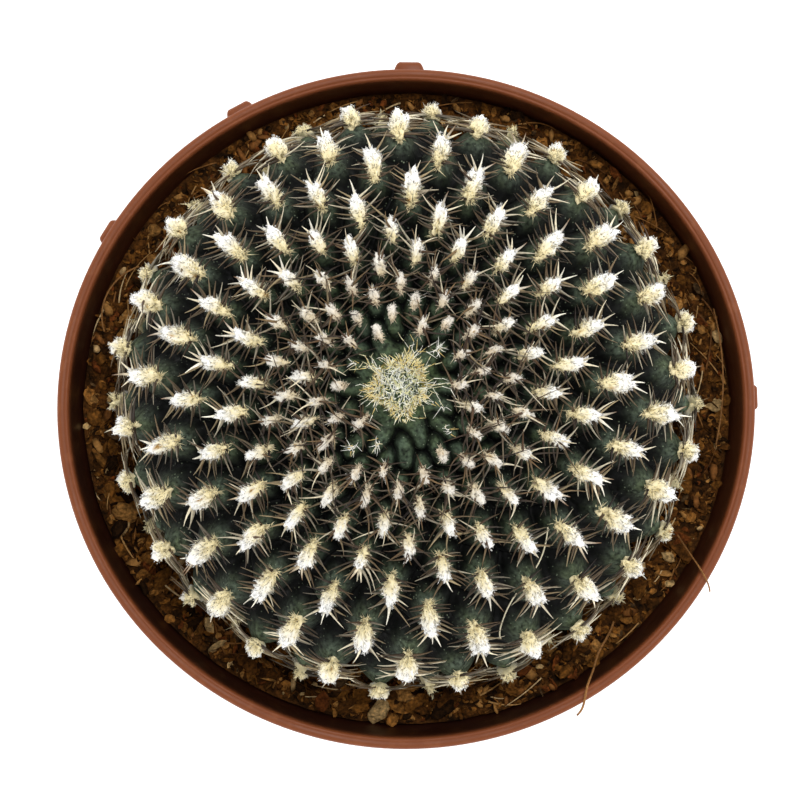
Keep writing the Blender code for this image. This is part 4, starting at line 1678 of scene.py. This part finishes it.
@dataclass
class SpineCoat:
    """The spines: side ones in two combs, an ivory fan outwards, a few dark curled centre ones."""

    areoles: list[Areole]
    soil_level: float
    bare_below: float = 3.0 * MM
    pad_length: float = 5.7 * MM
    pad_width: float = 2.15 * MM
    pad_growth: float = 1.05
    length: float = 3.1 * MM
    radius: float = 0.22 * MM
    seat: float = 0.2 * MM
    grown: float = 0.6
    smallest: float = 0.345
    comb: int = 8
    young_comb: int = 5
    young_spines: int = 4
    centre_odds: float = 0.16
    brown_end_odds: float = 0.25
    pale_odds: float = 0.3
    dark: tuple[Colour, ...] = (linear(56, 44, 33), linear(77, 60, 42), linear(40, 30, 24))
    pale: tuple[Colour, ...] = (linear(156, 138, 104), linear(228, 217, 188), linear(110, 92, 66))
    ivory: tuple[Colour, ...] = (linear(236, 230, 212), linear(224, 212, 184))
    brown_end: tuple[Colour, ...] = (linear(120, 84, 52),)
    centre: tuple[Colour, ...] = (linear(72, 52, 34), linear(104, 84, 56))
    young_foot: tuple[Colour, ...] = (linear(78, 56, 38), linear(62, 44, 31), linear(104, 80, 54))
    young_tip: tuple[Colour, ...] = (linear(68, 50, 35), linear(126, 102, 70))
    young_pale: tuple[Colour, ...] = (linear(206, 194, 166),)
    seed: int = 47
    finish: Finish = field(default_factory=lambda: PaintedFibre("spine", 0.45, 0.22, 0.3))

    def build(self) -> None:
        """Models all the spines as one piece."""
        draw = np.random.default_rng(self.seed)
        spines = []
        for areole in self.areoles:
            if areole.place[2] < self.soil_level + self.bare_below or areole.size < self.smallest:
                continue
            if areole.size < self.grown:
                spines += self.side_spines(areole, self.young_comb, draw)
                spines += self.first_spines(areole, draw)
            else:
                spines += self.side_spines(areole, self.comb, draw)
                spines += self.fan_spines(areole, draw)
            if draw.random() < self.centre_odds:
                spines.append(self.centre_spine(areole, draw))
        piece = joined("spines", [self.shapes_of(spines)])
        place_piece(piece, self.finish, Slot.WOOL.value)

    def shapes_of(self, spines: list[Spine]) -> Shapes:
        """Points, triangles and colours of all the spines.

        Args:
            spines: The spines to make.

        Returns:
            The points, the triangles and the colours.
        """
        stalk = Template.thorn(5, 4, 0.14)
        placed = stalk.bent(
            np.array([spine.foot for spine in spines]), unit(np.array([spine.heading for spine in spines])),
            np.array([spine.length for spine in spines]), np.array([spine.radius for spine in spines]),
            np.array([spine.sag for spine in spines]),
        )
        points, triangles = stalk.join(placed)
        along = np.clip(stalk.points[:, 2], 0, 1)[None, :, None]
        low = np.array([spine.low for spine in spines])[:, None]
        high = np.array([spine.high for spine in spines])[:, None]
        return points, triangles, (low + (high - low) * along).reshape(-1, 3)

    def heading(self, areole: Areole, side: float, outward: float, lift: float) -> np.ndarray:
        """A direction from its sideways and outward shares and its angle above the skin."""
        flat = unit(side * areole.side + outward * areole.outward)
        return flat * math.cos(lift) + areole.normal * math.sin(lift)

    def tone(self, draw: np.random.Generator, shades: tuple[Colour, ...]) -> np.ndarray:
        """One of some shades, a little lighter or darker."""
        return np.array(shades[draw.integers(len(shades))]) * draw.uniform(0.65, 1.35)

    def side_spines(self, areole: Areole, count: int, draw: np.random.Generator) -> list[Spine]:
        """Two combs of spines that sweep sideways, crowded and darker on a young areole.

        Args:
            areole: Where they grow.
            count: How many on each side, on top of the plant.
            draw: The random source.

        Returns:
            The spines.
        """
        young = fade_out(areole.size, 0.66, 0.2)
        flank = areole.flank(55, 15)
        count += int(round(2 * flank))
        return [
            self.side_spine(areole, sign, (k + draw.uniform(-0.3, 0.3)) / (count - 1), young, flank, draw)
            for sign in (-1, 1) for k in range(count)
        ]

    def side_spine(
        self, areole: Areole, sign: int, u: float, young: float, flank: float, draw: np.random.Generator,
    ) -> Spine:
        """One spine of a comb.

        Args:
            areole: Where it grows.
            sign: Which side of the pad.
            u: Where along the pad, from 0 at the inner end to 1 at the outer end.
            young: How young the areole is, from 0 to 1.
            flank: How far down the plant's flank it is, from 0 to 1.
            draw: The random source.

        Returns:
            The spine.
        """
        slant = math.radians((-6 + 42 * u) * (1 - 0.8 * flank) + draw.normal(0, 7 + 14 * young))
        lift = math.radians(draw.uniform(2, 20 + 12 * young) * (1 - 0.7 * flank))
        length = self.length * (0.68 + 0.3 * math.sin(math.pi * (0.15 + 0.7 * u))) * draw.uniform(0.75, 1.1)
        length *= 1 + 0.2 * young + 0.35 * flank
        along = (u - 0.5) * self.pad_length * 0.8 * areole.size**self.pad_growth
        foot = areole.place + areole.outward * along
        foot = foot + areole.side * sign * self.pad_width * 0.1 + areole.normal * self.seat
        sag = areole.outward * draw.uniform(-0.06, 0.5) * (1 - 0.7 * flank)
        sag = sag - areole.normal * draw.uniform(0.06, 0.3 + 0.1 * flank)
        sag = sag + draw.normal(size=3) * (0.07 + 0.17 * young)
        dark, pale = self.tone(draw, self.dark), self.tone(draw, self.pale)
        share = np.clip(u * 0.95 - 0.32 + draw.normal(0, 0.24) - 0.35 * young + 0.35 * flank, 0, 1)
        tip_share = np.clip(share + draw.uniform(-0.1, 0.6) - 0.2 * young, 0, 1)
        return Spine(
            foot, self.heading(areole, sign * math.cos(slant), math.sin(slant), lift), length,
            self.radius * draw.uniform(0.7, 1.1) * (1 - 0.2 * young), sag,
            dark + (pale - dark) * share, dark + (pale - dark) * tip_share,
        )

    def fan_spines(self, areole: Areole, draw: np.random.Generator) -> list[Spine]:
        """Ivory spines that fan outwards from the pad's outer end, fewer of them near the plant's edge.

        Args:
            areole: Where they grow.
            draw: The random source.

        Returns:
            The spines.
        """
        near_edge = areole.t > math.radians(64)
        count = int(draw.integers(0, 2) if near_edge else draw.integers(1, 4))
        spines = []
        for k in range(count):
            turn = math.radians((k + 0.5) / count * 90 - 45 + draw.uniform(-9, 9))
            lift = math.radians(draw.uniform(10, 38))
            foot = areole.place + areole.outward * self.pad_length * 0.4 * areole.size
            foot = foot + areole.normal * 0.3 * MM + areole.side * math.sin(turn) * 0.35 * MM
            heading = self.heading(areole, math.sin(turn), math.cos(turn), lift)
            sag = areole.side * draw.uniform(-0.18, 0.18) - areole.normal * draw.uniform(0.0, 0.25)
            ivory = self.tone(draw, self.ivory)
            end = self.tone(draw, self.brown_end) if draw.random() < self.brown_end_odds else ivory
            length = draw.uniform(1.7, 2.9) * MM * (0.5 + 0.5 * areole.size)
            radius = self.radius * draw.uniform(0.75, 1.05)
            spines.append(Spine(foot, heading, length, radius, sag, ivory, end))
        return spines

    def centre_spine(self, areole: Areole, draw: np.random.Generator) -> Spine:
        """A dark curled spine that lies over the wool.

        Args:
            areole: Where it grows.
            draw: The random source.

        Returns:
            The spine.
        """
        turn = draw.uniform(0, 2 * math.pi)
        heading = self.heading(areole, math.sin(turn), math.cos(turn), math.radians(draw.uniform(20, 45)))
        foot = areole.place + areole.normal * 0.8 * MM * areole.size
        sag = areole.side * draw.uniform(-0.5, 0.5) + areole.outward * draw.uniform(-0.4, 0.4)
        dark = self.tone(draw, self.centre)
        length = draw.uniform(1.6, 2.8) * MM
        return Spine(foot, heading, length, self.radius * 1.05, sag - areole.normal * 0.2, dark, dark * 1.2)

    def first_spines(self, areole: Areole, draw: np.random.Generator) -> list[Spine]:
        """The few spines of a young areole that point outwards and inwards from its tip.

        Args:
            areole: Where they grow.
            draw: The random source.

        Returns:
            The spines.
        """
        spines = []
        for _ in range(self.young_spines):
            turn = draw.normal(0, 0.6) + (math.pi if draw.random() < 0.3 else 0)
            lift = math.radians(draw.uniform(8, 34))
            heading = self.heading(areole, math.sin(turn), math.cos(turn), lift)
            foot = areole.place + areole.normal * self.seat + heading * 0.15 * MM
            sag = -areole.normal * draw.uniform(0.0, 0.3) + areole.side * draw.uniform(-0.3, 0.3)
            low, high = self.tone(draw, self.young_foot), self.tone(draw, self.young_tip)
            if draw.random() < self.pale_odds:
                low = high = self.tone(draw, self.young_pale)
            length = draw.uniform(1.6, 3.4) * MM
            spines.append(Spine(foot, heading, length, self.radius * draw.uniform(0.6, 0.85), sag, low, high))
        return spines


@dataclass(frozen=True)
class HairKind:
    """One kind of hair on the crown: how thick it is, how far it bends aside and its colours."""

    thinnest: float
    thickest: float
    curl: float
    shades: tuple[Colour, ...]
    odds: tuple[float, ...]


@dataclass
class Crown:
    """The growing tip: a sage-green felt under pale wisps, golden tufts round it and hairs that radiate."""

    globe: Globe
    areoles: list[Areole]
    reach: float = 3.05 * MM
    rise: float = 1.1 * MM
    seat: float = 0.3 * MM
    felt: Colour = linear(54, 70, 47)
    felt_edge: Colour = linear(120, 112, 62)
    patches: tuple[tuple[float, float], ...] = (
        (24, 0.5), (44, 0.85), (62, 0.95), (82, 0.7), (112, 0.25), (146, 0.3), (172, 0.5), (191, 0.8),
        (212, 0.5), (250, 0.4), (276, 0.85), (305, 0.3), (334, 0.55),
    )
    rays: int = 10
    ray_parts: int = 4
    wisps: int = 640
    wisp_seat: float = 0.05 * MM
    clump_below: float = 0.42
    clump_gaps: float = 0.2
    wisp: HairKind = HairKind(
        0.055 * MM, 0.1 * MM, 0.45,
        (linear(255, 255, 244), linear(246, 242, 190), linear(170, 184, 136), linear(62, 78, 54)),
        (0.56, 0.2, 0.08, 0.16),
    )
    gold: HairKind = HairKind(
        0.045 * MM, 0.08 * MM, 0.3,
        (linear(255, 243, 186), linear(250, 229, 156), linear(255, 252, 226), linear(236, 206, 132)),
        (0.36, 0.24, 0.28, 0.12),
    )
    ray: HairKind = HairKind(
        0.034 * MM, 0.056 * MM, 0.08,
        (linear(255, 253, 236), linear(248, 240, 194), linear(236, 210, 138)), (0.55, 0.33, 0.12),
    )
    clump: HairKind = HairKind(
        0.045 * MM, 0.08 * MM, 0.35,
        (linear(252, 250, 240), linear(242, 232, 194), linear(226, 198, 130)), (0.62, 0.26, 0.12),
    )
    seed: int = 53
    finish: Finish = field(default_factory=lambda: PaintedFibre("crown wool", 0.9, 0.12))

    def build(self) -> None:
        """Models the cushion and its hairs."""
        draw = np.random.default_rng(self.seed)
        self.build_cushion()
        hair = Template.thorn(3, 4, 0.3)
        groups = [
            self.cushion_wisps(hair, draw), self.edge_tufts(hair, draw), self.radiating(hair, draw),
            self.first_clumps(hair, draw),
        ]
        place_piece(joined("crown_hairs", groups), self.finish, Slot.WOOL.value)

    def on_cushion(self, share: np.ndarray, angle: np.ndarray) -> np.ndarray:
        """Places on top of the cushion.

        Args:
            share: How far out, from 0 at its middle to 1 at its edge.
            angle: Directions round the axis.

        Returns:
            (..., 3) places.
        """
        reach = self.reach * (0.86 + 0.1 * np.cos(5 * angle + 0.8) + 0.06 * np.cos(13 * angle))
        x, y = share * np.cos(angle), share * np.sin(angle)
        lumps = 0.16 * waves(x, y, 0.42, 61) + 0.14 * waves(x, y, 0.22, 62)
        rise = self.rise * (np.sqrt(np.clip(1 - share**2, 0, 1)) * 0.5 + 0.3 + lumps * (1 - share**4))
        return self.globe.place(self.polar(share * reach), angle, rise)

    def polar(self, radius: np.ndarray) -> np.ndarray:
        """The polar place on the globe at a distance from its axis."""
        return np.arcsin(np.clip(radius / self.globe.radius, 0, 1))

    def build_cushion(self) -> None:
        """The cushion's body, a flattened ball."""
        start_clean()
        bpy.ops.mesh.primitive_ico_sphere_add(subdivisions=5, radius=1)
        cushion = bpy.context.object
        cushion.name = "crown_cushion"
        ball = points_of(cushion)
        share = np.hypot(ball[:, 0], ball[:, 1])
        angle = np.arctan2(ball[:, 1], ball[:, 0])
        top = self.on_cushion(share, angle)
        low = self.globe.place(self.polar(share * self.reach), angle, np.full(len(ball), self.seat))
        set_points(cushion, np.where(ball[:, 2:] > -1e-6, top, low))
        felt, edge = np.array(self.felt), np.array(self.felt_edge)
        paint(cushion, TINT, felt + (edge - felt) * fade(share, 0.7, 0.3)[:, None])
        active(cushion)
        bpy.ops.object.shade_smooth()
        place_piece(cushion, self.finish, Slot.WOOL.value, "crown_wool")

    def strands(
        self, hair: Template, kind: HairKind, feet: np.ndarray, headings: np.ndarray, lengths: np.ndarray,
        draw: np.random.Generator,
    ) -> Shapes:
        """A group of hairs.

        Args:
            hair: The hair that is copied.
            kind: How thick, how curled and how coloured they are.
            feet: Where they stand.
            headings: Which way they set out.
            lengths: How long they are.
            draw: The random source.

        Returns:
            Their points, triangles and colours.
        """
        count = len(feet)
        sags = draw.normal(size=(count, 3)) * kind.curl
        radii = draw.uniform(kind.thinnest, kind.thickest, count)
        points, triangles = hair.join(hair.bent(feet, unit(headings), lengths, radii, sags))
        tone = shades_for(count, kind.shades, kind.odds, draw) * draw.uniform(0.85, 1.1, (count, 1))
        return points, triangles, np.repeat(tone, len(hair.points), axis=0)

    def cushion_wisps(self, hair: Template, draw: np.random.Generator) -> Shapes:
        """Short pale wisps that lie crisscross on the cushion.

        Args:
            hair: The hair that is copied.
            draw: The random source.

        Returns:
            Their points, triangles and colours.
        """
        share = np.sqrt(draw.uniform(0, 0.95, self.wisps))
        angle = draw.uniform(0, 2 * math.pi, self.wisps)
        feet = self.on_cushion(share, angle) - [0, 0, self.wisp_seat]
        away = draw.uniform(0, 2 * math.pi, self.wisps)
        headings = np.stack([np.cos(away), np.sin(away), draw.uniform(0.1, 0.7, self.wisps)], axis=1)
        lengths = draw.uniform(0.35, 0.95, self.wisps) * MM
        return self.strands(hair, self.wisp, feet, headings, lengths, draw)

    def edge_tufts(self, hair: Template, draw: np.random.Generator) -> Shapes:
        """Golden fuzzy tufts of uneven size round the edge.

        Args:
            hair: The hair that is copied.
            draw: The random source.

        Returns:
            Their points, triangles and colours.
        """
        feet, headings = [], []
        for degrees, size in self.patches:
            angle = math.radians(degrees)
            middle = self.on_cushion(np.array(draw.uniform(0.88, 1.12)), np.array(angle))
            for _ in range(int(14 + 84 * size)):
                way = unit(draw.normal(size=3) + [0, 0, 0.4])
                feet.append(middle + way * size * MM * [1, 1, 0.45])
                headings.append(way + [0.5 * math.cos(angle), 0.5 * math.sin(angle), 0.1])
        lengths = draw.uniform(0.3, 0.75, len(feet)) * MM
        return self.strands(hair, self.gold, np.array(feet), np.array(headings), lengths, draw)

    def radiating(self, hair: Template, draw: np.random.Generator) -> Shapes:
        """Bundles of thin curly hairs that run outwards between the first tubercles.

        Args:
            hair: The hair that is copied.
            draw: The random source.

        Returns:
            Their points, triangles and colours.
        """
        feet, headings, lengths = [], [], []
        for k in range(self.rays):
            angle = 2 * math.pi * (k + draw.uniform(-0.3, 0.3)) / self.rays
            reach = draw.uniform(1.9, 5.2) * MM
            for _ in range(int(draw.integers(6, 15))):
                start = angle + draw.normal(0, 0.08)
                away = angle + draw.normal(0, 0.16)
                at = self.on_cushion(np.array(draw.uniform(0.75, 1.05)), np.array(start))
                rise = draw.uniform(-0.1, 0.3)
                length = reach * draw.uniform(0.35, 1.0) / self.ray_parts
                for _ in range(self.ray_parts):
                    heading = unit(np.array([math.cos(away), math.sin(away), rise]))
                    feet.append(at)
                    headings.append(heading)
                    lengths.append(length * 1.08)
                    at = at + heading * length
                    away += draw.normal(0, 0.5)
                    rise += draw.normal(-0.06, 0.25)
        return self.strands(hair, self.ray, np.array(feet), np.array(headings), np.array(lengths), draw)

    def first_clumps(self, hair: Template, draw: np.random.Generator) -> Shapes:
        """A small curly clump of white hairs on most of the first, still spineless tubercles.

        Args:
            hair: The hair that is copied.
            draw: The random source.

        Returns:
            Their points, triangles and colours.
        """
        feet, headings = [], []
        for areole in self.areoles:
            if areole.size > self.clump_below or draw.random() < self.clump_gaps:
                continue
            for _ in range(int(draw.integers(8, 24))):
                across, along = draw.normal(0, 0.16) * MM, draw.normal(0, 0.3) * MM
                feet.append(areole.place + areole.side * across + areole.outward * along)
                headings.append(
                    areole.normal * draw.uniform(0.1, 0.7) + areole.outward * draw.normal(0.3, 0.8)
                    + areole.side * draw.normal(0, 0.8)
                )
        lengths = draw.uniform(0.35, 1.0, len(feet)) * MM
        return self.strands(hair, self.clump, np.array(feet), np.array(headings), lengths, draw)


@dataclass
class LooseFibre:
    """One long ivory fibre that lies across the plant's south-east flank."""

    over: list[bpy.types.Object]
    radius: float = 0.085 * MM
    clearance: float = 0.5 * MM
    look_from: float = 0.2
    lowest: float = 0.08
    colour: Colour = linear(238, 228, 196)
    route: tuple[tuple[float, float], ...] = (
        (16.5 * MM, -13.8 * MM), (16.4 * MM, -17.1 * MM), (14.6 * MM, -19.6 * MM), (12.2 * MM, -22.1 * MM),
        (11.4 * MM, -25.0 * MM), (11.0 * MM, -26.8 * MM), (11.3 * MM, -27.4 * MM),
    )
    finish: Finish = field(default_factory=lambda: PaintedFibre("loose fibre", 0.6, 0.1))

    def surface(self, x: float, y: float) -> float:
        """The height of what lies under a place.

        Args:
            x: First coordinate.
            y: Second coordinate.

        Returns:
            The height in metres.
        """
        heights = []
        for obj in self.over:
            hit, where, _, _ = obj.ray_cast(Vector((x, y, self.look_from)), Vector((0, 0, -1)))
            if hit:
                heights.append(where.z)
        return max(heights, default=self.lowest)

    def build(self) -> None:
        """Draws the fibre over what lies under it."""
        bpy.context.view_layer.update()
        points = [(x, y, self.surface(x, y) + self.clearance) for x, y in self.route]
        fibre = drawn_strand("loose_fibre", points, self.radius)
        paint_evenly(fibre, self.colour)
        place_piece(fibre, self.finish, Slot.WOOL.value)


# ------------------------------------------------------------------ studio

@dataclass
class Studio:
    """The camera straight above the plant, a white floor and soft light from all round."""

    rim_height: float
    camera_at: tuple[float, float, float] = (-0.74 * MM, 1.12 * MM, 0.466)
    view_width: float = 97.3 * MM
    sensor: float = 36
    nearest: float = 0.02
    farthest: float = 20
    zenith: float = 0.3
    horizon: float = 2.1
    fade_between: tuple[float, float] = (0.1, 0.75)
    table_size: float = 6
    table_gap: float = 0.1 * MM
    table_grey: float = 0.6
    table_glow: float = 0.9
    lamp_at: tuple[float, float, float] = (0.12, 0.22, 1.0)
    lamp_side: float = 0.3
    lamp_power: float = 5.0

    def build(self) -> None:
        """Sets up the camera, the world, the floor and the lamp."""
        self.add_camera()
        self.add_world()
        self.add_floor()
        self.add_lamp()

    def add_camera(self) -> None:
        """The camera looks straight down, with +Y up in its picture."""
        data = bpy.data.cameras.new("camera")
        data.sensor_width = self.sensor
        data.lens = self.sensor * (self.camera_at[2] - self.rim_height) / self.view_width
        data.clip_start = self.nearest
        data.clip_end = self.farthest
        camera = bpy.data.objects.new("camera", data)
        camera.location = self.camera_at
        bpy.context.scene.collection.objects.link(camera)
        bpy.context.scene.camera = camera

    def add_world(self) -> None:
        """A white tent: brighter at the sides than overhead, where the camera hangs."""
        scene = bpy.context.scene
        world = bpy.data.worlds.new("studio")
        world.use_nodes = True
        nodes, links = world.node_tree.nodes, world.node_tree.links
        heading = nodes.new("ShaderNodeTexCoord").outputs["Generated"]
        parts = nodes.new("ShaderNodeSeparateXYZ")
        links.new(heading, parts.inputs[0])
        dimming = nodes.new("ShaderNodeMapRange")
        dimming.interpolation_type = "SMOOTHSTEP"
        for socket, value in zip(dimming.inputs[1:5], (*self.fade_between, self.horizon, self.zenith)):
            socket.default_value = value
        links.new(parts.outputs["Z"], dimming.inputs[0])
        background = nodes["Background"]
        background.inputs["Color"].default_value = (*WHITE, 1)
        links.new(dimming.outputs[0], background.inputs["Strength"])
        scene.world = world
        scene.view_settings.view_transform = "Standard"
        scene.view_settings.look = "None"

    def add_floor(self) -> None:
        """A wide white table top."""
        start_clean()
        bpy.ops.mesh.primitive_plane_add(size=self.table_size, location=(0, 0, -self.table_gap))
        floor = bpy.context.object
        floor.name = "table_top"
        graph = Graph("white table")
        graph.set(Roughness=0.8, Base_Color=(*grey(self.table_grey), 1))
        graph.set(Emission_Color=(*WHITE, 1), Emission_Strength=self.table_glow)
        floor.data.materials.append(graph.made)

    def add_lamp(self) -> None:
        """One square softbox that faces the plant."""
        data = bpy.data.lights.new("top_light", "AREA")
        data.size = self.lamp_side
        data.energy = self.lamp_power
        lamp = bpy.data.objects.new("top_light", data)
        lamp.location = self.lamp_at
        aim = Vector((0, 0, self.rim_height)) - Vector(self.lamp_at)
        lamp.rotation_euler = aim.to_track_quat("-Z", "Y").to_euler()
        bpy.context.scene.collection.objects.link(lamp)


def main() -> None:
    """Builds and dresses every piece, in order."""
    logging.basicConfig(level=logging.INFO, format="%(message)s")
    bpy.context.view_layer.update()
    pot = NurseryPot()
    globe = Globe()
    soil = SoilBed(pot, globe.centre)
    areoles = globe.areoles()
    Studio(pot.height).build()
    pot.build()
    soil.build()
    stem = CactusStem(globe, areoles).build()
    pads = AreoleWool(areoles).build()
    SpineCoat(areoles, soil.level).build()
    Crown(globe, areoles).build()
    LooseFibre([stem, pads]).build()
    start_clean()


if __name__ == "__main__":
    main()
